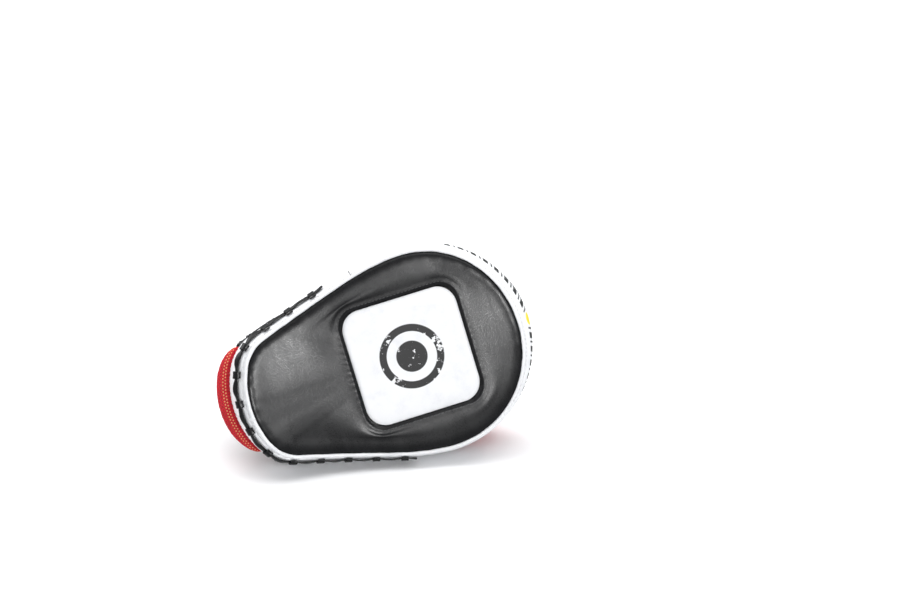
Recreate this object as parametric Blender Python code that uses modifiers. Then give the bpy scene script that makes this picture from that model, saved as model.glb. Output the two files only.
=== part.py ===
"""Curved boxing focus mitt with a laced wrist band, a mesh-sided hand pocket and a hook-and-loop strap.

Each piece is drawn in the mitt's own flat frame, in metres: X runs along the mitt from the wrist end to
the finger end, Y across it, and Z towards the striker, with Z = 0 at the back of the foam. bend() then
curls both ends forward, and the pose empty stands the mitt on its lower edge, leaning back on its pocket.
"""

import math

import bmesh
import bpy
from mathutils import Matrix, Vector

# Outline of the side band at its widest: on each side of the long axis, two arcs at the finger end, a
# straight flank, a corner arc, and the arc across the wrist end. Angles are those of the outward normal.
LENGTH = 0.293
WIDE_RADIUS = 0.102
SIDE_RADIUS = 0.240
SIDE_START = math.radians(95)
FLANK_ANGLE = math.radians(106.5)
CORNER_RADIUS = 0.047
TIP_RADIUS = 0.091
BAND_SEAM_X = 0.141

# Curl of the two ends, measured at the middle of the foam.
FLAT_FROM = 0.125
FLAT_TO = 0.215
WRIST_BEND_RADIUS = 0.300
FINGER_BEND_RADIUS = 0.240
BEND_LEVEL = 0.019

# Foam and leather stack.
CAP_INSET = 0.020
CAP_CENTRE = Vector((0.160, 0.0))
CAP_SCALES = (0.8, 0.6, 0.4, 0.2)
FACE_TOP = 0.038
FACE_LEATHER = 0.0015
BACK_LEATHER = 0.0016
BAND_THICKNESS = 0.0015
BAND_GAP = 0.0004
PIPING_RADIUS = 0.0015

# Target patch, set in a window of the face.
PATCH_X = 0.175
PATCH_SIDE = 0.114
PATCH_CORNER = 0.016
PATCH_GAP = 0.0005

# Hand pocket on the back.
DOME_INSET = 0.0034
DOME_BASE = -0.0004
DOME_HEIGHT = 0.060
DOME_PEAK_X = 0.120
LIP_DROP = 0.004
MOUTH_X = 0.030
WALL_SLANT = 0.30
WALL_SHARE = 0.68
SHOULDER_T = 0.62
DOME_TIP_X = LENGTH - DOME_INSET
SEAM_HALF_WIDTH = 0.052
SEAM_FLARE = 0.020
SEAM_MIDDLE_X = 0.168
SEAM_REACH = 0.085
SEAM_GAP_T = 0.018
DOME_STEPS = 16
DOME_SKIN = 0.0016
MESH_SKIN = 0.0016
PADDING_DROP = 0.0031
PADDING_THICKNESS = 0.0032
PADDING_EDGE_T = 0.985

# Lace round the wrist half of the band.
LACE_LEVEL = 0.0255
LACE_WIDTH = 0.0048
LACE_THICKNESS = 0.0014
LACE_LIFT = 0.0005
LACE_ARCH = 0.0013
LACE_FROM_X = 0.110
LACE_TO_X = 0.150
KEEPERS = 13
KEEPER_LENGTH = 0.0070
KEEPER_WALL = 0.0009

# Wrist strap, over the pocket.
STRAP_FROM_X = 0.0375
STRAP_TO_X = 0.0675
STRAP_THICKNESS = 0.0030
STRAP_ARCH = 0.0095
ROOT_T = (0.95, 0.70)
LOWER_T = (0.685, 0.36)
UPPER_T = (0.345, -0.075)
TIP_T = (-0.09, -0.39)
ROOT_GROW = 0.0004
LANDING_GROW = 0.0034
RIVET_RADIUS = 0.0036

# How the mitt rests on the floor.
LEAN = math.radians(18.883)
ROLL = math.radians(14.683)
REST_OFFSET = Vector((-0.1355, -0.01182, 0.05143))

SHARP_ANGLE = math.radians(42)
COLLECTION = "focus_mitt"


# ---------------------------------------------------------------- outline
def unit(angle):
    return Vector((math.cos(angle), math.sin(angle)))


def outline_pieces():
    """The +Y half from the finger tip to the wrist tip, as arcs and a line, each with its length."""
    first, last = unit(SIDE_START), unit(FLANK_ANGLE)
    wide = Vector((LENGTH - WIDE_RADIUS, 0.0))
    side = wide - first * (SIDE_RADIUS - WIDE_RADIUS)
    flank = side + last * SIDE_RADIUS
    tip = Vector((TIP_RADIUS, 0.0))
    along = Vector((-last.y, last.x))
    foot = last * (last.dot(flank) - CORNER_RADIUS)
    back = (foot - tip).dot(along)
    reach = back**2 - (foot - tip).length_squared + (TIP_RADIUS - CORNER_RADIUS) ** 2
    corner = foot + along * (math.sqrt(reach) - back)
    corner_end = math.atan2(corner.y, corner.x - TIP_RADIUS)
    flank_end = corner + last * CORNER_RADIUS
    return [
        ("arc", WIDE_RADIUS * SIDE_START, wide, WIDE_RADIUS, 0.0, SIDE_START),
        ("arc", SIDE_RADIUS * (FLANK_ANGLE - SIDE_START), side, SIDE_RADIUS, SIDE_START, FLANK_ANGLE),
        ("line", (flank_end - flank).length, flank, flank_end, last),
        ("arc", CORNER_RADIUS * (corner_end - FLANK_ANGLE), corner, CORNER_RADIUS, FLANK_ANGLE, corner_end),
        ("arc", TIP_RADIUS * (math.pi - corner_end), tip, TIP_RADIUS, corner_end, math.pi),
    ]


PIECES = outline_pieces()
HALF = sum(piece[1] for piece in PIECES)


def station(s):
    """The outline's point and outward normal at length s from the finger tip, round the +Y side first."""
    if s > HALF:
        point, normal = station(2 * HALF - s)
        return Vector((point.x, -point.y)), Vector((normal.x, -normal.y))
    left = max(s, 0.0)
    for piece in PIECES:
        kind, length, *rest = piece
        if left <= length or piece is PIECES[-1]:
            share = min(left / length, 1.0)
            break
        left -= length
    if kind == "line":
        start, end, normal = rest
        return start.lerp(end, share), normal.copy()
    centre, radius, start, end = rest
    normal = unit(start + (end - start) * share)
    return centre + normal * radius, normal


def length_at(x):
    """The length from the finger tip, round the +Y side, at which the outline has that X."""
    low, high = 0.0, HALF
    for _ in range(40):
        middle = (low + high) / 2
        if station(middle)[0].x > x:
            low = middle
        else:
            high = middle
    return low


def spread(start, end, steps):
    return [start + (end - start) * k / steps for k in range(steps)]


def half_lengths():
    """Lengths of the stations on the +Y half, with one at the band's seam, whose index comes second."""
    ends = [0.0]
    for piece in PIECES:
        ends.append(ends[-1] + piece[1])
    seam = length_at(BAND_SEAM_X)
    found = spread(0.0, ends[1], 9) + spread(ends[1], seam, 2)
    index = len(found)
    found += spread(seam, ends[2], 1) + spread(ends[2], ends[3], 5)
    found += spread(ends[3], ends[4], 5) + spread(ends[4], ends[5], 3)
    return [*found, HALF], index


def outline_point(place_on, inset, z):
    point, normal = place_on
    return Vector((*(point - normal * inset), z))


UPPER, SEAM_INDEX = half_lengths()
WHOLE = [station(s) for s in UPPER + [2 * HALF - s for s in reversed(UPPER[1:-1])]]


def bend(point):
    """Curls a point of the flat frame forward, past either end of the flat stretch."""
    x, y, z = point
    if FLAT_FROM <= x <= FLAT_TO:
        return Vector((x, y, z))
    if x < FLAT_FROM:
        start, side, radius = FLAT_FROM, -1.0, WRIST_BEND_RADIUS
    else:
        start, side, radius = FLAT_TO, 1.0, FINGER_BEND_RADIUS
    angle = abs(x - start) / radius
    reach = radius - (z - BEND_LEVEL)
    return Vector((start + side * reach * math.sin(angle), y, BEND_LEVEL + radius - reach * math.cos(angle)))


# ---------------------------------------------------------------- Blender helpers
def clear_scene():
    for obj in list(bpy.data.objects):
        bpy.data.objects.remove(obj, do_unlink=True)


def make_material(name, colour, roughness, metallic=0.0):
    material = bpy.data.materials.new(name)
    material.use_nodes = True
    shader = material.node_tree.nodes["Principled BSDF"]
    shader.inputs["Base Color"].default_value = (*colour, 1.0)
    shader.inputs["Roughness"].default_value = roughness
    shader.inputs["Metallic"].default_value = metallic
    return material


def place(obj, material, pose):
    obj.data.materials.append(material)
    bpy.data.collections[COLLECTION].objects.link(obj)
    obj.parent = pose
    return obj


def add_shell(obj, thickness, outwards=False):
    """Gives an open sheet its wall: inwards from its faces, or outwards."""
    wall = obj.modifiers.new("wall", "SOLIDIFY")
    wall.thickness = thickness
    wall.offset = 1.0 if outwards else -1.0
    wall.use_even_offset = True
    wall.use_quality_normals = True
    return obj


def grid_mesh(name, rows, loop_rows=False, loop_columns=False, cap_ends=False):
    """A mesh of quads through rows of points, bent. A row of one point is a pole."""
    mesh = bmesh.new()
    verts = [[mesh.verts.new(bend(p)) for p in row] for row in rows]
    pairs = list(zip(verts, verts[1:]))
    if loop_rows:
        pairs.append((verts[-1], verts[0]))
    for first, second in pairs:
        count = max(len(first), len(second))
        for k in range(count if loop_columns else count - 1):
            n = (k + 1) % count
            near, far = len(first), len(second)
            corners = [first[k % near], first[n % near], second[n % far], second[k % far]]
            face = []
            for corner in corners:
                if corner not in face:
                    face.append(corner)
            if len(face) > 2:
                mesh.faces.new(face)
    if cap_ends:
        mesh.faces.new(reversed(verts[0]))
        mesh.faces.new(verts[-1])
    bmesh.ops.recalc_face_normals(mesh, faces=mesh.faces)
    data = bpy.data.meshes.new(name)
    mesh.to_mesh(data)
    mesh.free()
    data.shade_smooth()
    data.set_sharp_from_angle(angle=SHARP_ANGLE)
    return bpy.data.objects.new(name, data)


def face_along(obj, direction):
    """Turns an open sheet's faces so that the one nearest that direction's side points along it."""
    total = sum((Vector(p.normal) * p.area for p in obj.data.polygons), Vector())
    if total.dot(direction) < 0:
        obj.data.flip_normals()
    return obj


# ---------------------------------------------------------------- foam, leather and band
def cap_rings(z):
    """Rings from inside the cap's edge to its centre, the same for each layer so that facets lie alike."""
    edge = [outline_point(s, CAP_INSET, z) for s in WHOLE]
    middle = Vector((CAP_CENTRE.x, CAP_CENTRE.y, z))
    return [*[[middle + (p - middle) * scale for p in edge] for scale in CAP_SCALES], [middle]]


def add_layer(name, section, material, pose):
    """A closed slab: section runs from under its rim to over it, as (inset, z), between two caps."""
    bottom, top = cap_rings(section[0][1]), cap_rings(section[-1][1])
    walls = [[outline_point(s, inset, z) for s in WHOLE] for inset, z in section]
    obj = grid_mesh(name, [*reversed(bottom), *walls, *top], loop_columns=True)
    return place(obj, material, pose)


def add_skin(name, section, thickness, material, pose, up):
    """An open sheet of leather over the foam: section runs from its rim inwards, and up is its outer side."""
    walls = [[outline_point(s, inset, z) for s in WHOLE] for inset, z in section]
    obj = grid_mesh(name, [*walls, *cap_rings(section[-1][1])], loop_columns=True)
    face_along(obj, Vector((0, 0, up)))
    return place(add_shell(obj, thickness), material, pose)


FOAM_LAYERS = {
    "front_foam": [
        (CAP_INSET, 0.0242),
        (0.0110, 0.0242),
        (0.0032, 0.0242),
        (0.0050, 0.0288),
        (0.0090, 0.0318),
        (0.0130, 0.0344),
        (CAP_INSET, 0.0356),
    ],
    "core_foam": [
        (CAP_INSET, 0.0102),
        (0.0110, 0.0102),
        (0.0030, 0.0102),
        (0.0030, 0.0234),
        (0.0110, 0.0234),
        (CAP_INSET, 0.0234),
    ],
    "rear_foam": [
        (CAP_INSET, 0.0032),
        (0.0110, 0.0032),
        (0.0052, 0.0032),
        (0.0040, 0.0094),
        (0.0110, 0.0094),
        (CAP_INSET, 0.0094),
    ],
}
BAND_SECTION = [
    (0.0049, 0.0329),
    (0.0022, 0.0295),
    (0.0006, 0.0240),
    (0.0000, 0.0180),
    (0.0005, 0.0110),
    (0.0016, 0.0050),
    (0.0026, 0.0015),
]


def add_band(name, stations, material, pose):
    rows = [[outline_point(s, inset, z) for inset, z in BAND_SECTION] for s in stations]
    obj = grid_mesh(name, rows)
    middle = obj.data.polygons[len(obj.data.polygons) // 2]
    centre = Vector((CAP_CENTRE.x, 0, BEND_LEVEL))
    if Vector(middle.normal).dot(Vector(middle.center) - centre) < 0:
        obj.data.flip_normals()
    return place(add_shell(obj, BAND_THICKNESS), material, pose)


def band_stations():
    """The finger half's stations and the wrist half's, with a gap at each seam."""
    seam = UPPER[SEAM_INDEX]
    finger = [seam - BAND_GAP / 2, *reversed(UPPER[:SEAM_INDEX])]
    wrist = [seam + BAND_GAP / 2, *UPPER[SEAM_INDEX + 1 :]]
    finger += [-s for s in reversed(finger[:-1])]
    wrist += [2 * HALF - s for s in reversed(wrist[:-1])]
    return [station(s % (2 * HALF)) for s in finger], [station(s) for s in wrist]


def add_piping(material, pose):
    curve = bpy.data.curves.new("front_piping", "CURVE")
    curve.dimensions = "3D"
    curve.bevel_depth = PIPING_RADIUS
    curve.bevel_resolution = 1
    spline = curve.splines.new("POLY")
    points = [bend(outline_point(s, 0.0052, 0.0350)) for s in WHOLE]
    spline.points.add(len(points) - 1)
    for spot, point in zip(spline.points, points):
        spot.co = (*point, 1.0)
    spline.use_cyclic_u = True
    return place(bpy.data.objects.new("front_piping", curve), material, pose)


def rounded_rows(side, corner, z):
    """Rows of points across a square with rounded corners, centred on the patch, from the wrist side."""
    half = side / 2
    reach = half - corner
    turns = [math.radians(angle) for angle in (90, 68, 45, 22, 0)]
    ends = [(-reach - corner * math.sin(a), reach + corner * math.cos(a)) for a in turns]
    middle = [(-reach + 2 * reach * k / 6, half) for k in range(1, 6)]
    outline = [*ends, *middle, *[(-x, y) for x, y in reversed(ends)]]
    return [[Vector((PATCH_X + x, y * (k / 3 - 1), z)) for k in range(7)] for x, y in outline]


def add_target(face, white, pose):
    """The white patch, and the window cut for it in the face."""
    patch = grid_mesh("target_patch", rounded_rows(PATCH_SIDE, PATCH_CORNER, FACE_TOP))
    face_along(patch, Vector((0, 0, 1)))
    place(add_shell(patch, FACE_LEATHER), white, pose)
    low = rounded_rows(PATCH_SIDE + 2 * PATCH_GAP, PATCH_CORNER + PATCH_GAP, FACE_TOP - 0.008)
    cutter = grid_mesh("patch_window_cutter", low)
    face_along(cutter, Vector((0, 0, 1)))
    add_shell(cutter, 0.020, outwards=True)
    cutter.hide_render = True
    cutter.display_type = "WIRE"
    bpy.data.collections["cutters"].objects.link(cutter)
    cutter.parent = pose
    window = face.modifiers.new("window", "BOOLEAN")
    window.object = cutter
    window.operation = "DIFFERENCE"


# ---------------------------------------------------------------- hand pocket
def half_width(x, inset):
    """Half the outline's width at X, drawn in by inset."""
    low, high = 0.0, HALF
    for _ in range(36):
        middle = (low + high) / 2
        if outline_point(station(middle), inset, 0.0).x > x:
            low = middle
        else:
            high = middle
    return max(outline_point(station(low), inset, 0.0).y, 0.0)


def dome_height(x):
    if x < DOME_PEAK_X:
        return DOME_HEIGHT - LIP_DROP * ((DOME_PEAK_X - x) / (DOME_PEAK_X - MOUTH_X)) ** 2
    share = min((x - DOME_PEAK_X) / (DOME_TIP_X - DOME_PEAK_X), 1.0)
    return DOME_HEIGHT * math.sqrt(1 - share**2)


def dome_point(x, t, grow=0.0):
    """A point on the pocket's outside: t runs from -1 at the -Y foot over the top to 1 at the +Y foot."""
    width = half_width(x, DOME_INSET) + grow
    height = dome_height(x) + grow
    shoulder = WALL_SHARE * height
    q = abs(t)
    if q > SHOULDER_T:
        rise = (1 - q) / (1 - SHOULDER_T) * shoulder
        y, up = width - WALL_SLANT * rise, rise
    else:
        s = 1 - q / SHOULDER_T
        start = Vector((width - WALL_SLANT * shoulder, shoulder))
        reach = height - shoulder
        points = [
            start,
            start + Vector((-WALL_SLANT, 1.0)) * reach * 0.75,
            Vector((0.52 * width, height)),
            Vector((0.0, height)),
        ]
        weights = [(1 - s) ** 3, 3 * (1 - s) ** 2 * s, 3 * (1 - s) * s**2, s**3]
        y, up = sum((p * w for p, w in zip(points, weights)), Vector((0.0, 0.0)))
    return Vector((x, math.copysign(y, t), DOME_BASE - up))


def seam_half_width(x):
    return SEAM_HALF_WIDTH + SEAM_FLARE * ((x - SEAM_MIDDLE_X) / SEAM_REACH) ** 2


def seam_t(x):
    """The t of the seam between the leather and the mesh, 1 where the leather reaches the foot."""
    target = seam_half_width(x)
    if target >= half_width(x, DOME_INSET):
        return 1.0
    low, high = 0.0, 1.0
    for _ in range(40):
        middle = (low + high) / 2
        if dome_point(x, middle).y < target:
            low = middle
        else:
            high = middle
    return low


def seam_ends():
    """X at which the mesh panels begin and end."""
    inside = [MOUTH_X + 0.0005 * k for k in range(480) if seam_t(MOUTH_X + 0.0005 * k) < 0.96]
    return inside[0], inside[-1]


SIDE_FROM, SIDE_TO = seam_ends()


def dome_stations():
    """X of the pocket's cross-sections, with a close pair at each end of the mesh panels."""
    before = spread(MOUTH_X, SIDE_FROM - 0.002, 2) + [SIDE_FROM - 0.002]
    ramp = (0.0, 0.012, 0.030, 0.060, 0.105)
    length = SIDE_TO - SIDE_FROM
    along = [SIDE_FROM + length * share for share in ramp]
    along += spread(along[-1] + 0.07 * length, SIDE_TO - 0.105 * length, 9)
    along += [SIDE_TO - length * share for share in reversed(ramp)]
    after = [SIDE_TO + 0.002] + [DOME_TIP_X - (DOME_TIP_X - SIDE_TO - 0.002) * s for s in (0.62, 0.30, 0.09)]
    return before, along, after


def add_dome_panels(leather, mesh, pose):
    before, along, after = dome_stations()
    steps = DOME_STEPS
    rows = []
    for x in [*before, *along, *after]:
        edge = seam_t(x) if x in along else 1.0
        rows.append([dome_point(x, -edge + 2 * edge * k / steps) for k in range(steps + 1)])
    rows.append([Vector((DOME_TIP_X, 0.0, DOME_BASE))])
    centre = face_along(grid_mesh("pocket_centre_panel", rows), Vector((0, 0, -1)))
    place(add_shell(centre, DOME_SKIN), leather, pose)
    for name, side in (("pocket_mesh_upper", 1), ("pocket_mesh_lower", -1)):
        rows = []
        for x in along:
            start = min(seam_t(x) + SEAM_GAP_T, 0.985)
            rows.append([dome_point(x, side * (start + (1 - start) * k / 5)) for k in range(6)])
        panel = face_along(grid_mesh(name, rows), Vector((0, side, -0.2)))
        place(add_shell(panel, MESH_SKIN), mesh, pose)


def padding_ts(x):
    """t across the padding, matching the panels outside it so that their facets lie alike."""
    edge = min(seam_t(x), 0.96)
    side = [edge + (PADDING_EDGE_T - edge) * k / 3 for k in range(1, 4)]
    middle = [edge * (2 * k / DOME_STEPS - 1) for k in range(DOME_STEPS + 1)]
    return [*[-t for t in reversed(side)], *middle, *side]


def add_dome_padding(material, pose):
    before, along, _ = dome_stations()
    stations = [MOUTH_X + 0.001, *before[1:], *along[:-1]]
    rows = [[dome_point(x, t, -PADDING_DROP) for t in padding_ts(x)] for x in stations]
    obj = face_along(grid_mesh("pocket_padding", rows), Vector((0, 0, -1)))
    place(add_shell(obj, PADDING_THICKNESS), material, pose)


def add_mouth_binding(material, pose):
    """A folded tape over the pocket's lip, from its outside to the inside of the padding."""
    inner = -(PADDING_DROP + PADDING_THICKNESS + 0.0014)
    section = [(0.005, 0.0005), (0.0, 0.0005), (-0.0014, -0.001)]
    section += [(-0.0014, inner + 0.0015), (0.0, inner), (0.005, inner)]
    steps = DOME_STEPS
    ts = [-0.91 + 1.82 * k / steps for k in range(steps + 1)]
    rows = [[dome_point(MOUTH_X + dx, t, grow) for dx, grow in section] for t in ts]
    obj = grid_mesh("pocket_mouth_binding", rows)
    outermost = min(obj.data.polygons, key=lambda p: p.center.z)
    if outermost.normal.z > 0:
        obj.data.flip_normals()
    place(add_shell(obj, 0.0010, outwards=True), material, pose)


# ---------------------------------------------------------------- wrist cushion
CUSHION_SECTION = [
    (0.0040, -0.0006),
    (-0.0024, -0.0026),
    (-0.0066, -0.0078),
    (-0.0068, -0.0132),
    (-0.0030, -0.0180),
    (0.0045, -0.0200),
    (0.0115, -0.0182),
    (0.0155, -0.0132),
    (0.0160, -0.0070),
    (0.0145, -0.0010),
]
CUSHION_ANCHOR = (0.0060, -0.0006)
CUSHION_MIDDLE = Vector((0.0048, -0.0100))
CUSHION_CORE = 0.60
CUSHION_REACH = 0.060
CUSHION_SHIFT = 0.006
CUSHION_TAPER = 0.20


def cushion_stations():
    middle = HALF - CUSHION_SHIFT
    return [station(middle - CUSHION_REACH + CUSHION_REACH * k / 8) for k in range(17)]


def cushion_rows(section, ends_left=0):
    """Rows round the wrist tip, without so many at each end, which leaves the cover's ends empty."""
    stations = cushion_stations()
    rows = []
    for k, place_on in enumerate(stations):
        if not ends_left <= k < len(stations) - ends_left:
            continue
        along = abs(2 * k / (len(stations) - 1) - 1)
        size = CUSHION_TAPER + (1 - CUSHION_TAPER) * math.sqrt(max(1 - along**2.6, 0.0))
        row = []
        for inset, z in section:
            drawn_in = CUSHION_ANCHOR[0] + (inset - CUSHION_ANCHOR[0]) * size
            row.append(outline_point(place_on, drawn_in, CUSHION_ANCHOR[1] + (z - CUSHION_ANCHOR[1]) * size))
        rows.append(row)
    return rows


def add_cushion(mesh, foam, pose):
    cover = grid_mesh("wrist_cushion_cover", cushion_rows(CUSHION_SECTION))
    probe = min(cover.data.polygons, key=lambda p: p.center.x)
    if probe.normal.x > 0:
        cover.data.flip_normals()
    place(add_shell(cover, 0.0012), mesh, pose)
    core = [CUSHION_MIDDLE + (Vector(p) - CUSHION_MIDDLE) * CUSHION_CORE for p in CUSHION_SECTION]
    obj = grid_mesh("wrist_cushion_foam", cushion_rows(core, 1), loop_columns=True, cap_ends=True)
    place(obj, foam, pose)


# ---------------------------------------------------------------- palm grip
def add_turned(name, profile, steps, centre, material, pose, thickness=None):
    """A profile of (radius, z), from its outer foot to its pole, turned about Z."""
    data = bpy.data.meshes.new(name)
    data.from_pydata([(r, 0, z) for r, z in profile], [(k, k + 1) for k in range(len(profile) - 1)], [])
    obj = bpy.data.objects.new(name, data)
    turn = obj.modifiers.new("turn", "SCREW")
    turn.steps = steps
    turn.render_steps = steps
    turn.use_merge_vertices = True
    turn.merge_threshold = 0.00001
    turn.use_smooth_shade = True
    if thickness:
        add_shell(obj, thickness)
    obj.location = centre
    return place(obj, material, pose)


def add_palm_grip(leather, foam, pose):
    """A half-round cushion on the back panel, under the palm."""
    cover_radius, cover_height, base = 0.027, 0.019, -0.0004
    quarter = [k * math.pi / 12 for k in range(7)]
    cover = [(cover_radius * math.cos(a), base - cover_height * math.sin(a)) for a in quarter]
    cover[-1] = (0.0, cover[-1][1])
    core_radius, core_height = cover_radius - 0.0018, cover_height - 0.0018
    core = [(0.0, base)] + [(core_radius * math.cos(a), base - core_height * math.sin(a)) for a in quarter]
    core[-1] = (0.0, core[-1][1])
    centre = (0.150, 0.0, 0.0)
    add_turned("palm_grip_cover", cover, 20, centre, leather, pose, 0.0014)
    add_turned("palm_grip_foam", core, 20, centre, foam, pose)


# ---------------------------------------------------------------- lace
def band_inset(z):
    """How far in the band's outside lies at a height."""
    for (upper_in, upper), (lower_in, lower) in zip(BAND_SECTION, BAND_SECTION[1:]):
        if z >= lower:
            return lower_in + (upper_in - lower_in) * (z - lower) / (upper - lower)
    return BAND_SECTION[-1][0]


def track_point(s, out, z):
    return outline_point(station(s), band_inset(z) - out, z)


def add_lace(lace_leather, keeper_leather, pose):
    start = length_at(LACE_FROM_X)
    total = 2 * HALF - length_at(LACE_TO_X) - start
    pitch = total / (KEEPERS - 0.3)
    first = 0.35 * pitch
    steps = 7 * KEEPERS
    rows = []
    for k in range(steps + 1):
        s = total * k / steps
        lift = LACE_LIFT + LACE_ARCH * math.sin(math.pi * (s - first) / pitch) ** 2
        low, high = LACE_LEVEL - LACE_WIDTH / 2, LACE_LEVEL + LACE_WIDTH / 2
        corners = ((lift, low), (lift, high), (lift + LACE_THICKNESS, high), (lift + LACE_THICKNESS, low))
        rows.append([track_point(start + s, out, z) for out, z in corners])
    place(grid_mesh("wrist_lace", rows, loop_columns=True, cap_ends=True), lace_leather, pose)
    top = LACE_LIFT + LACE_THICKNESS + 0.0005
    section = [(-0.0056, 0.0004), (-0.0037, 0.0004), (-0.0034, top)]
    section += [(-across, out) for across, out in reversed(section)]
    for n in range(KEEPERS):
        rows = []
        for share in (-0.5, 0.0, 0.5):
            s = start + first + n * pitch + share * KEEPER_LENGTH
            rows.append([track_point(s, out, LACE_LEVEL + across) for across, out in section])
        keeper = grid_mesh(f"lace_keeper_{n + 1:02d}", rows)
        face_along(keeper, Vector((*station(start + first + n * pitch)[1], 0.0)))
        place(add_shell(keeper, KEEPER_WALL, outwards=True), keeper_leather, pose)


# ---------------------------------------------------------------- wrist strap
def strap_grow(t):
    """How far the strap's inner side stands off the pocket."""
    root, landing = ROOT_T[1], TIP_T[0]
    if t >= root:
        return ROOT_GROW
    if t <= landing:
        return LANDING_GROW
    share = (root - t) / (root - landing)
    return ROOT_GROW + (LANDING_GROW - ROOT_GROW) * share + STRAP_ARCH * math.sin(math.pi * share) ** 1.5


def strap_point(x, t, lift=0.0):
    return dome_point(x, t, strap_grow(t) + lift)


def add_strap_sheet(name, span, steps, thickness, material, pose, lift=None, margin=0.0):
    """A sheet over the pocket between two t values; lift is its stand-off, or None for the strap's own."""
    stations = [STRAP_FROM_X + margin + (STRAP_TO_X - STRAP_FROM_X - 2 * margin) * k / 3 for k in range(4)]
    ts = [span[0] + (span[1] - span[0]) * k / steps for k in range(steps + 1)]
    rows = [[strap_point(x, t) if lift is None else dome_point(x, t, lift) for x in stations] for t in ts]
    obj = grid_mesh(name, rows)
    middle = bend(dome_point(stations[1], sum(span) / 2))
    outward = middle - bend(Vector((stations[1], 0, 0)))
    face_along(obj, outward)
    return place(add_shell(obj, thickness, outwards=True), material, pose)


def make_hinge(name, above, below, parent, parent_spot):
    """An empty on the line between two sections, on the strap's outer side, and its place once bent."""
    t = (above + below) / 2
    spot = sum((bend(strap_point(x, t, STRAP_THICKNESS)) for x in (STRAP_FROM_X, STRAP_TO_X)), Vector()) / 2
    empty = bpy.data.objects.new(name, None)
    bpy.data.collections[COLLECTION].objects.link(empty)
    empty.parent = parent
    empty.location = spot - parent_spot
    return empty, spot


def add_strap(leather, hook, loop, rubber, steel, pose):
    opening, opening_spot = make_hinge("strap_open_hinge", ROOT_T[1], LOWER_T[0], pose, Vector())
    curling, curling_spot = make_hinge("strap_curl_hinge", LOWER_T[1], UPPER_T[0], opening, opening_spot)
    peeling, peeling_spot = make_hinge("strap_peel_hinge", UPPER_T[1], TIP_T[0], curling, curling_spot)
    add_strap_sheet("strap_root", ROOT_T, 3, STRAP_THICKNESS, leather, pose)
    lower = add_strap_sheet("strap_lower", LOWER_T, 6, STRAP_THICKNESS, leather, opening)
    lower.location = -opening_spot
    upper = add_strap_sheet("strap_upper", UPPER_T, 8, STRAP_THICKNESS, leather, curling)
    upper.location = -curling_spot
    tab_t = (TIP_T[1] - 0.006, TIP_T[1] - 0.046)
    hook_t = (TIP_T[0] - 0.05, TIP_T[1] + 0.02)
    tip = [
        add_strap_sheet("strap_tip", TIP_T, 6, STRAP_THICKNESS, leather, peeling),
        add_strap_sheet("strap_pull_tab", tab_t, 2, 0.0016, rubber, peeling, LANDING_GROW + 0.0005, 0.008),
        add_strap_sheet("hook_pad", hook_t, 4, 0.0010, hook, peeling, LANDING_GROW - 0.0014, 0.003),
    ]
    for obj in tip:
        obj.location = -peeling_spot
    add_strap_sheet("loop_pad", (TIP_T[0] - 0.01, TIP_T[1] - 0.08), 6, 0.0010, loop, pose, 0.0005, 0.002)
    third = (STRAP_TO_X - STRAP_FROM_X) / 3
    for name, x in (("strap_rivet_wrist", STRAP_FROM_X), ("strap_rivet_finger", STRAP_TO_X - third)):
        add_rivet(name, x, x + third, steel, pose)


def add_rivet(name, from_x, to_x, steel, pose):
    """A domed cap on the middle facet of the strap's root."""
    step = (ROOT_T[0] - ROOT_T[1]) / 3
    near, far = ROOT_T[1] + step, ROOT_T[1] + 2 * step
    spots = ((from_x, near), (to_x, near), (to_x, far), (from_x, far))
    a, b, c, d = [bend(strap_point(x, t, STRAP_THICKNESS)) for x, t in spots]
    out = (c - a).cross(d - b).normalized()
    if out.y < 0:
        out = -out
    data = bpy.data.meshes.new(name)
    cap = bmesh.new()
    bmesh.ops.create_cone(cap, cap_ends=True, segments=16, radius1=RIVET_RADIUS, radius2=0.0020, depth=0.0016)
    cap.to_mesh(data)
    cap.free()
    data.shade_smooth()
    data.set_sharp_from_angle(angle=SHARP_ANGLE)
    rivet = bpy.data.objects.new(name, data)
    rivet.rotation_mode = "QUATERNION"
    rivet.rotation_quaternion = out.to_track_quat("Z", "Y")
    rivet.location = (a + b + c + d) / 4 + out * 0.0014
    place(rivet, steel, pose)


# ---------------------------------------------------------------- assembly
def make_pose():
    """The empty that stands the mitt on its lower edge, wrist end to -X, facing -Y."""
    pose = bpy.data.objects.new("pose", None)
    bpy.data.collections[COLLECTION].objects.link(pose)
    upright = Matrix.Rotation(math.pi / 2, 4, "X")
    roll = Matrix.Rotation(-ROLL, 4, "Y")
    lean = Matrix.Rotation(-LEAN, 4, "X")
    pose.matrix_world = Matrix.Translation(REST_OFFSET) @ lean @ roll @ upright
    return pose


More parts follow.
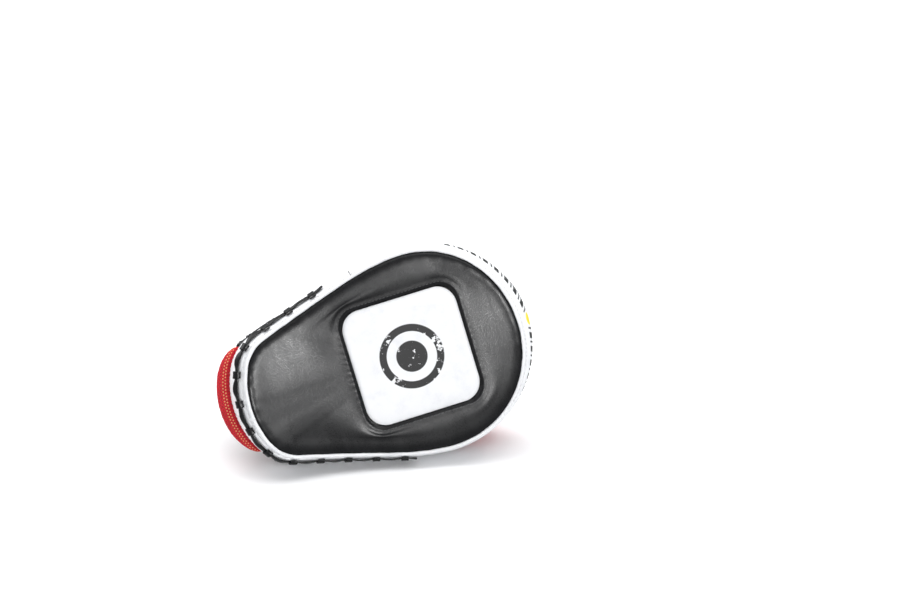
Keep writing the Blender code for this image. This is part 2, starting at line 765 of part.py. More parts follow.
def main():
    clear_scene()
    for name in (COLLECTION, "cutters"):
        if name not in bpy.data.collections:
            bpy.context.scene.collection.children.link(bpy.data.collections.new(name))
    black = make_material("black_leather", (0.018, 0.019, 0.022), 0.38)
    white = make_material("white_leather", (0.86, 0.86, 0.86), 0.35)
    red = make_material("red_mesh", (0.62, 0.008, 0.030), 0.75)
    foam = make_material("foam", (0.30, 0.31, 0.33), 0.90)
    lining = make_material("lining", (0.06, 0.06, 0.065), 0.85)
    lace = make_material("lace_leather", (0.035, 0.036, 0.040), 0.45)
    steel = make_material("nickel", (0.62, 0.62, 0.62), 0.25, 1.0)
    hook = make_material("hook_tape", (0.025, 0.025, 0.027), 0.80)
    rubber = make_material("tab_rubber", (0.030, 0.030, 0.032), 0.60)
    pose = make_pose()

    face_section = [(0.0072, 0.0343), (0.0086, 0.0358), (0.0115, 0.0372), (0.0155, 0.0379)]
    face_section.append((CAP_INSET, FACE_TOP))
    face = add_skin("face_panel", face_section, FACE_LEATHER, black, pose, 1)
    add_target(face, white, pose)
    for name, section in FOAM_LAYERS.items():
        add_layer(name, section, foam, pose)
    back_section = [(0.0056, 0.0004), (0.0110, 0.0004), (CAP_INSET, 0.0004)]
    add_skin("back_panel", back_section, BACK_LEATHER, lining, pose, -1)
    finger, wrist = band_stations()
    add_band("band_finger_half", finger, white, pose)
    add_band("band_wrist_half", wrist, white, pose)
    add_piping(white, pose)
    add_lace(lace, black, pose)

    add_dome_panels(black, red, pose)
    add_dome_padding(lining, pose)
    add_mouth_binding(black, pose)
    add_cushion(red, foam, pose)
    add_palm_grip(black, foam, pose)
    add_strap(black, hook, hook, rubber, steel, pose)


main()
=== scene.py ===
import math

import bmesh
import bpy
import numpy as np
from mathutils import Matrix, Vector


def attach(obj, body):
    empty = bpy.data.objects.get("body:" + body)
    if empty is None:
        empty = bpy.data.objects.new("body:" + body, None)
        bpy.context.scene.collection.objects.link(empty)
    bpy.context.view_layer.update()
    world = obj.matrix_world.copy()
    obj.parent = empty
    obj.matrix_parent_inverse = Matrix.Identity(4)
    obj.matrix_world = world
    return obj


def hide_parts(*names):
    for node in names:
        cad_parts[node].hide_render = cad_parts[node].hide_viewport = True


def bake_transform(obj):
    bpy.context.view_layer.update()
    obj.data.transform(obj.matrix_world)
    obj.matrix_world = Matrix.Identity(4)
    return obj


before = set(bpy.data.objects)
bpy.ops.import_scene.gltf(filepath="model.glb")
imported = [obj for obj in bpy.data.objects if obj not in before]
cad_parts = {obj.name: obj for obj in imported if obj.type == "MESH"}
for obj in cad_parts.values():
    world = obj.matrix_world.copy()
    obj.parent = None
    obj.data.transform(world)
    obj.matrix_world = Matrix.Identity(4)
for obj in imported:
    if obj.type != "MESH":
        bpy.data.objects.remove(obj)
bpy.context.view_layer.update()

# The mitt's own flat frame, in metres: X from the wrist end to the finger end, Y across, Z to the striker.
mitt = {
    "length": 0.293,
    "wideRadius": 0.102,
    "sideRadius": 0.240,
    "sideStart": math.radians(95),
    "flankAngle": math.radians(106.5),
    "cornerRadius": 0.047,
    "tipRadius": 0.091,
    "bandSeamX": 0.141,
    "faceTop": 0.038,
    "flatFrom": 0.125,
    "flatTo": 0.215,
    "wristBend": 0.300,
    "fingerBend": 0.240,
    "bendLevel": 0.019,
    "lean": math.radians(18.883),
    "roll": math.radians(14.683),
    "offset": (-0.1355, -0.01182, 0.05143),
    "middle": (0.160, 0.0, 0.019),
}


# shape of the mitt
def unit(angle):
    return np.stack([np.cos(angle), np.sin(angle)], -1)


def traceOutline():
    m = mitt
    wide = np.array([m["length"] - m["wideRadius"], 0.0])
    side = wide - unit(m["sideStart"]) * (m["sideRadius"] - m["wideRadius"])
    out = unit(m["flankAngle"])
    flank = side + out * m["sideRadius"]
    tip = np.array([m["tipRadius"], 0.0])
    along = np.array([-out[1], out[0]])
    foot = out * (out @ flank - m["cornerRadius"])
    back = (foot - tip) @ along
    reach = back**2 - (foot - tip) @ (foot - tip) + (m["tipRadius"] - m["cornerRadius"]) ** 2
    corner = foot + along * (math.sqrt(reach) - back)
    cornerEnd = math.atan2(corner[1], corner[0] - m["tipRadius"])
    arcs = (
        (wide, m["wideRadius"], 0.0, m["sideStart"]),
        (side, m["sideRadius"], m["sideStart"], m["flankAngle"]),
        (corner, m["cornerRadius"], m["flankAngle"], cornerEnd),
        (tip, m["tipRadius"], cornerEnd, math.pi),
    )
    angles = np.concatenate([np.linspace(start, end, 500) for _, _, start, end in arcs])
    points = np.concatenate([c + unit(np.linspace(start, end, 500)) * r for c, r, start, end in arcs])
    steps = np.linalg.norm(np.diff(points, axis=0), axis=1)
    return np.concatenate([[0.0], np.cumsum(steps)]), points, angles


trackLengths, trackPoints, trackAngles = traceOutline()
halfLength = trackLengths[-1]


def station(s):
    # the outline's point and outward direction at length s from the finger tip, the +Y side first
    s = np.mod(np.asarray(s, float), 2 * halfLength)
    near = np.where(s > halfLength, 2 * halfLength - s, s)
    sign = np.where(s > halfLength, -1.0, 1.0)
    angle = np.interp(near, trackLengths, trackAngles)
    x = np.interp(near, trackLengths, trackPoints[:, 0])
    y = np.interp(near, trackLengths, trackPoints[:, 1]) * sign
    return np.stack([x, y], -1), np.stack([np.cos(angle), np.sin(angle) * sign], -1)


def bandInset(z):
    # how far in the band's outside lies at a height
    section = np.array(band["section"])[::-1]
    return np.interp(z, section[:, 1], section[:, 0])


def onOutline(s, inset, z):
    s, inset, z = np.broadcast_arrays(np.asarray(s, float), inset, z)
    point, out = station(s)
    return np.concatenate([point - out * inset[..., None], z[..., None]], -1)


def lengthAt(x):
    return float(np.interp(-x, -trackPoints[:, 0], trackLengths))


def curl(p, backwards=False):
    # bends the flat mitt towards the striker at both ends, or straightens it again
    x, y, z = p[..., 0], p[..., 1], p[..., 2]
    m = mitt
    newX, newZ = x.copy(), z.copy()
    wrist = (x < m["flatFrom"], m["flatFrom"], -1, m["wristBend"])
    finger = (x > m["flatTo"], m["flatTo"], 1, m["fingerBend"])
    for mask, start, sign, radius in (wrist, finger):
        if backwards:
            far, up = np.abs(x - start), m["bendLevel"] + radius - z
            along, level = np.arctan2(far, up) * radius, np.hypot(far, up)
            newX = np.where(mask, start + sign * along, newX)
            newZ = np.where(mask, m["bendLevel"] + radius - level, newZ)
        else:
            angle = np.abs(x - start) / radius
            reach = radius - (z - m["bendLevel"])
            newX = np.where(mask, start + sign * reach * np.sin(angle), newX)
            newZ = np.where(mask, m["bendLevel"] + radius - reach * np.cos(angle), newZ)
    return np.stack([newX, y, newZ], -1)


standing = (
    Matrix.Translation(mitt["offset"])
    @ Matrix.Rotation(-mitt["lean"], 4, "X")
    @ Matrix.Rotation(-mitt["roll"], 4, "Y")
    @ Matrix.Rotation(math.pi / 2, 4, "X")
)
standing = np.array(standing)


def stand(p):
    # from the flat frame to where the mitt stands
    return curl(np.asarray(p, float)) @ standing[:3, :3].T + standing[:3, 3]


def layFlat(p):
    return curl((np.asarray(p, float) - standing[:3, 3]) @ standing[:3, :3], backwards=True)


def ripple(s, pitch, seed, around=None):
    # an uneven wave from 0 to 1, of about that pitch; around is the length after which it repeats
    rng = np.random.default_rng(seed)
    total = np.zeros_like(np.asarray(s, float))
    for _ in range(5):
        rate = rng.uniform(0.65, 1.35) / pitch
        if around:
            rate = max(round(rate * around), 1) / around
        total += rng.uniform(0.5, 1.0) * np.sin(2 * math.pi * (rate * s + rng.uniform()))
    return 0.5 + 0.5 * np.tanh(total * 0.8)


# mesh making
floorGap = 0.0002  # how far over the floor a piece rests


def gridFaces(rows, columns):
    spots = ((r * columns + c) for r in range(rows - 1) for c in range(columns - 1))
    return [(k, k + 1, k + columns + 1, k + columns) for k in spots]


def addObject(name, points, faces, loopUv=None):
    data = bpy.data.meshes.new(name)
    data.from_pydata(np.asarray(points).reshape(-1, 3).tolist(), [], [list(map(int, f)) for f in faces])
    if loopUv is not None:
        layer = data.uv_layers.new(name="flat")
        layer.data.foreach_set("uv", np.asarray(loopUv, np.float32).ravel())
    data.shade_smooth()
    obj = bpy.data.objects.new(name, data)
    bpy.context.scene.collection.objects.link(obj)
    return obj


def gridUv(points, closeRows, closeColumns):
    # lengths along the surface: u along each row, v from row to row
    if closeRows:
        points = np.concatenate([points, points[:1]], 0)
    if closeColumns:
        points = np.concatenate([points, points[:, :1]], 1)
    u = np.linalg.norm(np.diff(points, axis=1), axis=2).cumsum(1)
    v = np.linalg.norm(np.diff(points, axis=0), axis=2).mean(1).cumsum()
    u = np.concatenate([np.zeros((len(u), 1)), u], 1)
    v = np.concatenate([[0.0], v])[:, None]
    return np.stack([u, np.broadcast_to(v, u.shape)], -1)


def addGrid(name, flat, uv=None, closeRows=False, closeColumns=False, capEnds=False, awayFrom=None):
    # a mesh through rows of points given in the flat frame
    rows, columns = flat.shape[:2]
    r, c = np.meshgrid(
        np.arange(rows if closeRows else rows - 1),
        np.arange(columns if closeColumns else columns - 1),
        indexing="ij",
    )
    corners = ((r, c), (r, c + 1), (r + 1, c + 1), (r + 1, c))
    faces = np.stack([(a % rows) * columns + b % columns for a, b in corners], -1).reshape(-1, 4).tolist()
    if uv is None:
        uv = gridUv(flat, closeRows, closeColumns)
    elif isinstance(uv, str):
        uv = flat[..., :2]
    loops = np.stack([uv[a % len(uv), b % uv.shape[1]] for a, b in corners], -2).reshape(-1, 2).tolist()
    points = stand(flat).reshape(-1, 3)
    if capEnds == "strip":
        # each row runs out and back, so its two halves are joined across
        for row in (0, rows - 1):
            for k in range(columns // 2 - 1):
                across = (k, k + 1, columns - 2 - k, columns - 1 - k)
                faces.append([row * columns + n for n in across])
                loops += [uv[row, n].tolist() for n in across]
    elif capEnds:
        for row, flip in ((0, False), (rows - 1, True)):
            middle = len(points)
            points = np.concatenate([points, stand(flat[row].mean(0, keepdims=True))])
            for k in range(columns):
                n = (k + 1) % columns
                a, b = row * columns + k, row * columns + n
                faces.append([middle, b, a] if not flip else [middle, a, b])
                ends = (uv[row, n % uv.shape[1]], uv[row, k])
                loops += [uv[row].mean(0).tolist(), *[e.tolist() for e in (ends if not flip else ends[::-1])]]
    obj = addObject(name, points, faces, loops)
    if capEnds:
        fix = bmesh.new()
        fix.from_mesh(obj.data)
        bmesh.ops.recalc_face_normals(fix, faces=fix.faces)
        fix.to_mesh(obj.data)
        fix.free()
    if awayFrom is not None:
        faceAway(obj, stand(np.array([awayFrom]))[0])
    return obj


def faceAway(obj, spot):
    spot = Vector(spot)
    total = sum(Vector(p.normal).dot(Vector(p.center) - spot) * p.area for p in obj.data.polygons)
    if total < 0:
        obj.data.flip_normals()


def settle(obj):
    # modifiers become plain mesh
    depsgraph = bpy.context.evaluated_depsgraph_get()
    data = bpy.data.meshes.new_from_object(
        obj.evaluated_get(depsgraph), preserve_all_data_layers=True, depsgraph=depsgraph
    )
    obj.modifiers.clear()
    obj.data = data
    data.name = obj.name
    return obj


def faceTowards(obj, direction):
    normal = sum((Vector(p.normal) * p.area for p in obj.data.polygons), Vector())
    if normal.dot(Vector(direction)) < 0:
        obj.data.flip_normals()


def addWall(obj, thickness):
    wall = obj.modifiers.new("wall", "SOLIDIFY")
    wall.thickness = thickness
    wall.offset = -1.0
    wall.use_even_offset = True
    wall.use_quality_normals = True
    settle(obj)
    obj.data.set_sharp_from_angle(angle=math.radians(60))
    return obj


def addTube(name, flat, outward, radius, sides=10, closed=False):
    # a round cord along a path of the flat frame; outward is the direction it faces there
    path = np.asarray(flat, float)
    ahead = np.roll(path, -1, 0) - np.roll(path, 1, 0)
    if not closed:
        ahead[0], ahead[-1] = path[1] - path[0], path[-1] - path[-2]
    ahead /= np.linalg.norm(ahead, axis=1, keepdims=True)
    across = np.cross(ahead, outward)
    across /= np.linalg.norm(across, axis=1, keepdims=True)
    out = np.cross(across, ahead)
    turn = np.arange(sides)[None, :, None] * 2 * math.pi / sides
    radius = np.broadcast_to(radius, len(path))[:, None, None]
    flat = path[:, None] + (across[:, None] * np.cos(turn) + out[:, None] * np.sin(turn)) * radius
    return addGrid(name, flat, closeRows=closed, closeColumns=True, capEnds=not closed)


def finish(obj, body, material, slot, *nodes):
    # the end of every piece: its material, its body and the CAD nodes that it stands for
    if material is not None:
        obj.data.materials.clear()
        obj.data.materials.append(material)
    # what the mitt stands on is flattened, not sunk into the floor
    for vertex in obj.data.vertices:
        vertex.co.z = max(vertex.co.z, floorGap)
    if body:
        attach(obj, body)
    if nodes:
        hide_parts(*nodes)
    return obj


# materials
class Value:
    # a shader socket that can stand in a sum
    def __init__(self, tree, socket):
        self.tree, self.socket = tree, socket

    def using(self, operation, *terms):
        node = self.tree.nodes.new("ShaderNodeMath")
        node.operation = operation
        for slot, term in zip(node.inputs, terms):
            if isinstance(term, Value):
                self.tree.links.new(term.socket, slot)
            else:
                slot.default_value = term
        return Value(self.tree, node.outputs[0])

    def __add__(self, other):
        return self.using("ADD", self, other)

    def __sub__(self, other):
        return self.using("SUBTRACT", self, other)

    def __mul__(self, other):
        return self.using("MULTIPLY", self, other)

    def __truediv__(self, other):
        return self.using("DIVIDE", self, other)

    def __radd__(self, other):
        return self.using("ADD", other, self)

    def __rsub__(self, other):
        return self.using("SUBTRACT", other, self)

    def __rmul__(self, other):
        return self.using("MULTIPLY", other, self)

    def __pow__(self, other):
        return self.using("POWER", self, other)

    def __abs__(self):
        return self.using("ABSOLUTE", self)

    def least(self, other):
        return self.using("MINIMUM", self, other)

    def most(self, other):
        return self.using("MAXIMUM", self, other)

    def fraction(self):
        return self.using("FRACT", self)

    def root(self):
        return self.using("SQRT", self)


class Finish:
    # one material; uniform values go straight on its shader
    def __init__(self, name, **uniform):
        self.material = bpy.data.materials.new(name)
        self.material.use_nodes = True
        self.tree = self.material.node_tree
        self.shader = self.tree.nodes["Principled BSDF"]
        for key, value in uniform.items():
            self.shader.inputs[key.replace("_", " ")].default_value = value

    def node(self, kind, settings, sockets, output=0):
        node = self.tree.nodes.new("ShaderNode" + kind)
        for key, value in settings.items():
            setattr(node, key, value)
        for key, value in sockets.items():
            if isinstance(value, Value):
                self.tree.links.new(value.socket, node.inputs[key])
            else:
                node.inputs[key].default_value = value
        return Value(self.tree, node.outputs[output])

    def give(self, name, value):
        self.tree.links.new(value.socket, self.shader.inputs[name])

    def place(self, kind="Object"):
        return self.node("TexCoord", {}, {}, kind)

    def across(self, kind="UV"):
        parts = self.tree.nodes.new("ShaderNodeSeparateXYZ")
        self.tree.links.new(self.place(kind).socket, parts.inputs[0])
        return [Value(self.tree, socket) for socket in parts.outputs]

    def noise(self, scale, detail=4.0, roughness=0.55, kind="Object", stretch=None):
        where = self.place(kind)
        if stretch:
            where = self.node("Mapping", {}, {"Vector": where, "Scale": stretch})
        sockets = {"Vector": where, "Scale": scale, "Detail": detail, "Roughness": roughness}
        return self.node("TexNoise", {}, sockets)

    def cells(self, scale, feature="DISTANCE_TO_EDGE", kind="Object", randomness=1.0):
        sockets = {"Vector": self.place(kind), "Scale": scale, "Randomness": randomness}
        return self.node("TexVoronoi", {"feature": feature}, sockets)

    def wave(self, direction, scale, distortion):
        sockets = {"Vector": self.place("UV"), "Scale": scale, "Distortion": distortion, "Detail": 1.0}
        return self.node("TexWave", {"bands_direction": direction}, sockets)

    def step(self, value, low, high, first=0.0, last=1.0):
        sockets = {"Value": value, "From Min": low, "From Max": high, "To Min": first, "To Max": last}
        return self.node("MapRange", {"interpolation_type": "SMOOTHSTEP"}, sockets)

    def blend(self, share, first, second):
        mix = self.tree.nodes.new("ShaderNodeMix")
        mix.data_type = "RGBA"
        for slot, value in ((mix.inputs[0], share), (mix.inputs[6], first), (mix.inputs[7], second)):
            if isinstance(value, Value):
                self.tree.links.new(value.socket, slot)
            else:
                slot.default_value = (*value, 1.0) if isinstance(value, tuple) else value
        return Value(self.tree, mix.outputs[2])

    def bump(self, *layers):
        # layers of (height, depth in metres), each over the last
        normal = None
        for height, depth in layers:
            sockets = {"Height": height, "Distance": depth, "Strength": 1.0}
            if normal:
                sockets["Normal"] = normal
            normal = self.node("Bump", {}, sockets)
        self.give("Normal", normal)


leather = {
    "blackColour": (0.0036, 0.0038, 0.0046),
    "blackWorn": (0.0070, 0.0073, 0.0085),
    "blackRoughness": 0.25,
    "whiteColour": (0.80, 0.805, 0.82),
    "whiteShade": (0.68, 0.69, 0.72),
    "whiteRoughness": 0.34,
    "printWhite": (0.83, 0.84, 0.86),
    "strapWhite": (0.80, 0.81, 0.83),
    "printBlack": (0.012, 0.012, 0.013),
    "printYellow": (0.93, 0.72, 0.02),
    "grainScale": 900.0,
    "grainDepth": 0.000022,
    "creaseDepth": 0.00010,
    "swellDepth": 0.00045,
}


def leatherGrain(finish, depth=1.0):
    # pebbled grain, pores and slow wrinkles
    cells = finish.step(finish.cells(leather["grainScale"]), 0.0, 0.35)
    pores = finish.noise(2600.0, 2.0)
    wrinkles = finish.noise(70.0, 3.0, 0.5)
    slow = finish.noise(14.0, 2.0, 0.5)
    layers = ((slow, leather["swellDepth"] * depth), (wrinkles, leather["creaseDepth"] * depth))
    finish.bump(*layers, (cells, leather["grainDepth"] * depth), (pores, 0.000006 * depth))
    return cells, wrinkles, slow


def printed(f, printing, colour, roughness, base):
    # lays the ink over the leather; base is the roughness that the ink replaces
    for mask, ink, inkRoughness in printing(f) if printing else ():
        colour = f.blend(mask, colour, ink)
        roughness = roughness + mask * (inkRoughness - base)
    f.give("Base Color", colour)
    f.give("Roughness", roughness)
    return f.material


def makeBlackLeather(name, printing=None):
    f = Finish(name, Specular_IOR_Level=0.22)
    cells, wrinkles, slow = leatherGrain(f)
    brushed = f.noise(60.0, 4.0, 0.6, "UV", (1.0, 0.12, 1.0))
    worn = f.step(wrinkles * 0.6 + brushed * 0.4, 0.42, 0.72)
    colour = f.blend(worn, leather["blackColour"], leather["blackWorn"])
    base = leather["blackRoughness"]
    roughness = base + 0.18 * (brushed - 0.5) + 0.10 * (1 - cells) + 0.08 * (slow - 0.5)
    return printed(f, printing, colour, roughness, base)


def makeWhiteLeather(name, printing=None, roughness=None):
    f = Finish(name, Specular_IOR_Level=0.18)
    cells, wrinkles, slow = leatherGrain(f, 0.6)
    scuffs = f.noise(45.0, 6.0, 0.7)
    colour = f.blend(f.step(scuffs, 0.45, 0.85), leather["whiteColour"], leather["whiteShade"])
    roughness = (roughness or leather["whiteRoughness"]) + 0.10 * (wrinkles - 0.5) + 0.06 * (1 - cells)
    return printed(f, printing, colour, roughness, leather["whiteRoughness"])


def chipped(f, mask, amount, scale, scratched=0.68):
    # worn print: chips in loose groups and a few fine scratches
    groups = f.noise(scale * 0.28, 2.0, 0.5, "UV")
    chips = f.noise(scale, 6.0, 0.66, "UV")
    scratches = f.noise(scale * 0.8, 5.0, 0.65, "UV", (1.0, 14.0, 1.0))
    left = f.step(chips + 0.55 * (groups - 0.5), amount, amount + 0.02, 1.0, 0.0)
    return mask * left * f.step(scratches, scratched, scratched + 0.04, 1.0, 0.25)


def targetPrint(f):
    # a round aiming mark: a dot inside a ring
    x, y, _ = f.across()
    distance = ((x - target["x"]) ** 2.0 + y * y).root()
    edge = 0.0003
    dot = f.step(distance, target["dotRadius"] - edge, target["dotRadius"] + edge, 1.0, 0.0)
    far = abs(distance - (target["ringRadius"] - target["ringWidth"] / 2))
    ring = f.step(far, target["ringWidth"] / 2 - edge, target["ringWidth"] / 2 + edge, 1.0, 0.0)
    return [(chipped(f, dot.most(ring), 0.60, 150.0), leather["printBlack"], 0.42)]


def dashes(f, along, across, pitch, share, halfHeight, slant, low, high):
    # a row of slanted blocks round across = 0
    place = ((along + across * slant) / pitch).fraction()
    mask = f.step(place, share - 0.03, share + 0.03, 1.0, 0.0) * f.step(place, 0.0, 0.04)
    mask = mask * f.step(abs(across), halfHeight - 0.0002, halfHeight + 0.0002, 1.0, 0.0)
    mask = mask * f.step(along, low - 0.0002, low + 0.0002)
    return mask * f.step(along, high - 0.0002, high + 0.0002, 1.0, 0.0)


def spotAt(f, x, y, atX, atY, radius):
    distance = ((x - atX) * (x - atX) + (y - atY) * (y - atY)).root()
    return f.step(distance, radius - 0.0003, radius + 0.0003, 1.0, 0.0)


def bandPrint(f):
    # blocks round the end band, with a dot between the groups; u is the length, v the height
    u, v, _ = f.across()
    b = bandMark
    side = abs(u - b["middle"])
    level = v - b["level"]
    shape = (b["halfHeight"], b["slant"], b["from"], b["to"])
    wide = dashes(f, side, level, b["pitch"], b["share"], *shape)
    thin = dashes(f, side + b["thinAt"], level, b["pitch"], b["thinShare"], *shape)
    dot = spotAt(f, side, v, 0.0, b["level"], b["dotRadius"])
    blocks = chipped(f, wide.most(thin), 0.66, 260.0)
    return [(blocks, leather["printBlack"], 0.42), (dot, leather["printYellow"], 0.40)]


def pocketPrint(f):
    # stripes and thin lines along the back of the hand; u is the length, v the distance from the middle line
    u, v, _ = f.across()
    p = pocketMark
    shape = (p["stripeHalf"], p["slant"], p["from"], p["to"])
    wide = dashes(f, u, v - p["stripeY"], p["pitch"], 0.72, *shape)
    wide = wide.most(dashes(f, u + 0.006, v + p["stripeY"], p["pitch"] * 1.3, 0.78, *shape))
    inside = f.step(u, p["from"] - 0.014, p["from"] - 0.0135)
    inside = inside * f.step(u, p["to"] + 0.012, p["to"] + 0.0125, 1.0, 0.0)
    thin = f.step(abs(abs(v) - p["lineY"]), 0.0004, 0.0007, 1.0, 0.0) * inside
    dot = spotAt(f, u, v, p["from"] - 0.012, 0.0, p["dotRadius"])
    lines = chipped(f, wide.most(thin), 0.68, 200.0, 0.74)
    return [(lines, leather["printWhite"], 0.45), (dot, leather["printYellow"], 0.45)]


def strapPrint(f):
    # a dot and short stripes by the strap's tip; v is the length, u the width
    u, v, _ = f.across()
    m = strapMark
    shape = (m["halfHeight"], m["slant"], m["from"], m["to"])
    marks = dashes(f, v, u - m["middle"], m["pitch"], m["share"], *shape)
    dot = spotAt(f, v, u, m["dotAt"], m["middle"], m["dotRadius"])
    marks = chipped(f, marks, 0.72, 300.0)
    return [(marks, leather["strapWhite"], 0.45), (dot, leather["printYellow"], 0.45)]


def makeRedMesh(name, glintSpan=None, holeShadeShare=0.85):
    # spacer mesh: rows of holes set like a honeycomb, over a knitted ground; the holes carry painted shade
    f = Finish(name, Specular_IOR_Level=0.25, Sheen_Weight=0.35, Sheen_Roughness=0.4)
    f.shader.inputs["Sheen Tint"].default_value = (1.0, 0.25, 0.22, 1.0)
    m = redMesh
    u, v, _ = f.across()
    distance = None
    for shift in (0.0, 0.5):
        a = (u / m["pitch"] + shift).fraction() - 0.5
        b = ((v / (m["pitch"] * math.sqrt(3)) + shift).fraction() - 0.5) * math.sqrt(3)
        here = (a * a + b * b).root()
        distance = here if distance is None else distance.least(here)
    ground = f.step(distance, m["hole"] - 0.10, m["hole"] + 0.06)
    ribs = f.wave("X", 620.0, 1.5)
    fuzz = f.noise(1400.0, 3.0)
    tone = f.noise(30.0, 4.0)
    colour = f.blend(f.step(tone, 0.3, 0.75), m["colour"], m["light"])
    colour = f.blend(ribs * 0.35, colour, m["shade"])
    # painted shade: the holes are darkened towards the deep colour
    colour = f.blend((1 - ground) * holeShadeShare, colour, m["deep"])
    # painted glints: light orange spots in the middle of the holes, along one strip of the roll
    if glintSpan:
        low, high = glintSpan
        near = f.step(v, low - 0.001, low + 0.001) * f.step(v, high - 0.001, high + 0.001, 1.0, 0.0)
        points = f.step(distance, m["hole"] - 0.10, m["hole"] + 0.02, 1.0, 0.0)
        colour = f.blend(points * near * 0.75, colour, m["dot"])
    f.give("Base Color", colour)
    f.give("Roughness", 0.62 + 0.25 * fuzz)
    f.bump((tone, 0.0006), (ground, 0.00055), (ribs * ground, 0.00012), (fuzz, 0.00006))
    return f.material


def makeWoven(name, first, second, scale, roughness=0.85, depth=0.00016):
    # plain cloth: threads over and under in both directions, with painted shade between the threads
    f = Finish(name, Specular_IOR_Level=0.2, Sheen_Weight=0.2)
    warp, weft = (f.wave(direction, scale / 6.2832 * 2, 0.6) for direction in "XY")
    fuzz = f.noise(1800.0, 3.0)
    weave = warp.most(weft)
    tone = f.noise(26.0, 4.0)
    # painted shade: darker where the weave is low between the threads, mixed with a random tone
    f.give("Base Color", f.blend(f.step(weave * 0.7 + tone * 0.3, 0.2, 0.9), first, second))
    f.give("Roughness", roughness + 0.12 * (fuzz - 0.5))
    f.bump((tone, 0.0004), (weave, depth), (fuzz, 0.00005))
    return f.material


def makeFoam():
    f = Finish("foam", Specular_IOR_Level=0.2)
    bubbles = f.cells(700.0, "F1")
    tone = f.noise(60.0, 4.0)
    # painted shade: the pores are darker at their middles, where the bump makes them low
    f.give("Base Color", f.blend(f.step(bubbles, 0.1, 0.6), (0.20, 0.205, 0.215), (0.36, 0.37, 0.39)))
    f.give("Roughness", 0.86 + 0.1 * tone)
    f.bump((tone, 0.0004), (bubbles, 0.0003))
    return f.material


def makeThread(name, colour):
    # twisted yarn, round each stitch
    f = Finish(name, Specular_IOR_Level=0.3, Sheen_Weight=0.2)
    fibres = f.noise(2400.0, 3.0, 0.6, "Object", (1.0, 1.0, 0.3))
    tone = f.noise(160.0, 2.0)
    f.give("Base Color", f.blend(tone, tuple(c * 0.78 for c in colour), colour))
    f.give("Roughness", 0.55 + 0.3 * fibres)
    f.bump((fibres, 0.00012))
    return f.material


def makeNickel():
    f = Finish("nickel", Metallic=1.0)
    scratches = f.noise(500.0, 4.0, 0.6, "Object", (1.0, 0.15, 1.0))
    tone = f.noise(220.0, 3.0)
    f.give("Base Color", f.blend(tone, (0.52, 0.52, 0.53), (0.68, 0.68, 0.69)))
    f.give("Roughness", 0.18 + 0.22 * scratches)
    f.bump((scratches, 0.00003))
    return f.material


def makeHookTape():
    f = Finish("hookTape", Specular_IOR_Level=0.3)
    _, v, _ = f.across()
    loops = f.cells(1500.0, "F1", "UV", 0.6)
    rows = (v / 0.0013).fraction()
    tone = f.noise(120.0, 4.0)
    # painted shade: darker in the pits that the bump makes low
    f.give("Base Color", f.blend(f.step(loops, 0.1, 0.6), (0.008, 0.008, 0.009), (0.045, 0.045, 0.048)))
    f.give("Roughness", 0.72 + 0.2 * tone)
    f.bump((loops, 0.0006), (rows, 0.0002))
    return f.material


def makeRubber():
    f = Finish("tabRubber", Specular_IOR_Level=0.4)
    _, v, _ = f.across()
    ribs = f.step(abs((v / 0.0024).fraction() - 0.5), 0.18, 0.30)
    speckle = f.noise(900.0, 4.0)
    f.give("Base Color", f.blend(speckle, (0.014, 0.014, 0.015), (0.034, 0.034, 0.036)))
    f.give("Roughness", 0.48 + 0.2 * speckle)
    f.bump((ribs, 0.0003), (speckle, 0.00004))
    return f.material


def makeFloor():
    f = Finish("studioFloor", Specular_IOR_Level=0.25)
    tone = f.noise(1.5, 2.0)
    f.give("Base Color", f.blend(tone, (0.90, 0.905, 0.915), (0.93, 0.93, 0.935)))
    f.give("Roughness", 0.42 + 0.06 * tone)
    f.bump((f.noise(60.0, 2.0), 0.0001))
    return f.material


target = {
    "x": 0.175,
    "side": 0.114,
    "corner": 0.016,
    "puff": 0.0010,
    "edgeDrop": 0.0016,
    "depths": [0.0, 0.0003, 0.0008, 0.0015, 0.0024, 0.0036, 0.0055, 0.0085]
    + [0.013, 0.019, 0.026, 0.034, 0.043, 0.0535],
    "thickness": 0.0012,
    "dotRadius": 0.015,
    "ringRadius": 0.031,
    "ringWidth": 0.007,
}
bandMark = {
    "middle": 0.0,
    "level": 0.0168,
    "pitch": 0.0135,
    "share": 0.46,
    "thinAt": 0.0050,
    "thinShare": 0.15,
    "halfHeight": 0.0066,
    "slant": 0.25,
    "from": 0.010,
    "to": 0.118,
    "dotRadius": 0.0062,
}
pocketMark = {
    "stripeY": 0.011,
    "stripeHalf": 0.0062,
    "lineY": 0.025,
    "pitch": 0.0135,
    "slant": 0.35,
    "from": 0.128,
    "to": 0.232,
    "dotRadius": 0.0075,
}
strapMark = {
    "middle": 0.015,
    "pitch": 0.0062,
    "share": 0.55,
    "halfHeight": 0.0032,
    "slant": 0.3,
    "from": 0.118,
    "to": 0.152,
    "dotAt": 0.110,
    "dotRadius": 0.0036,
}
redMesh = {
    "colour": (0.60, 0.003, 0.016),
    "light": (0.72, 0.007, 0.026),
    "shade": (0.40, 0.002, 0.010),
    # painted shade colour for the inside of the holes
    "deep": (0.10, 0.0008, 0.004),
    # painted glint colour for the spots in the cushion's holes
    "dot": (1.0, 0.46, 0.20),
    "pitch": 0.0030,
    "hole": 0.30,
}

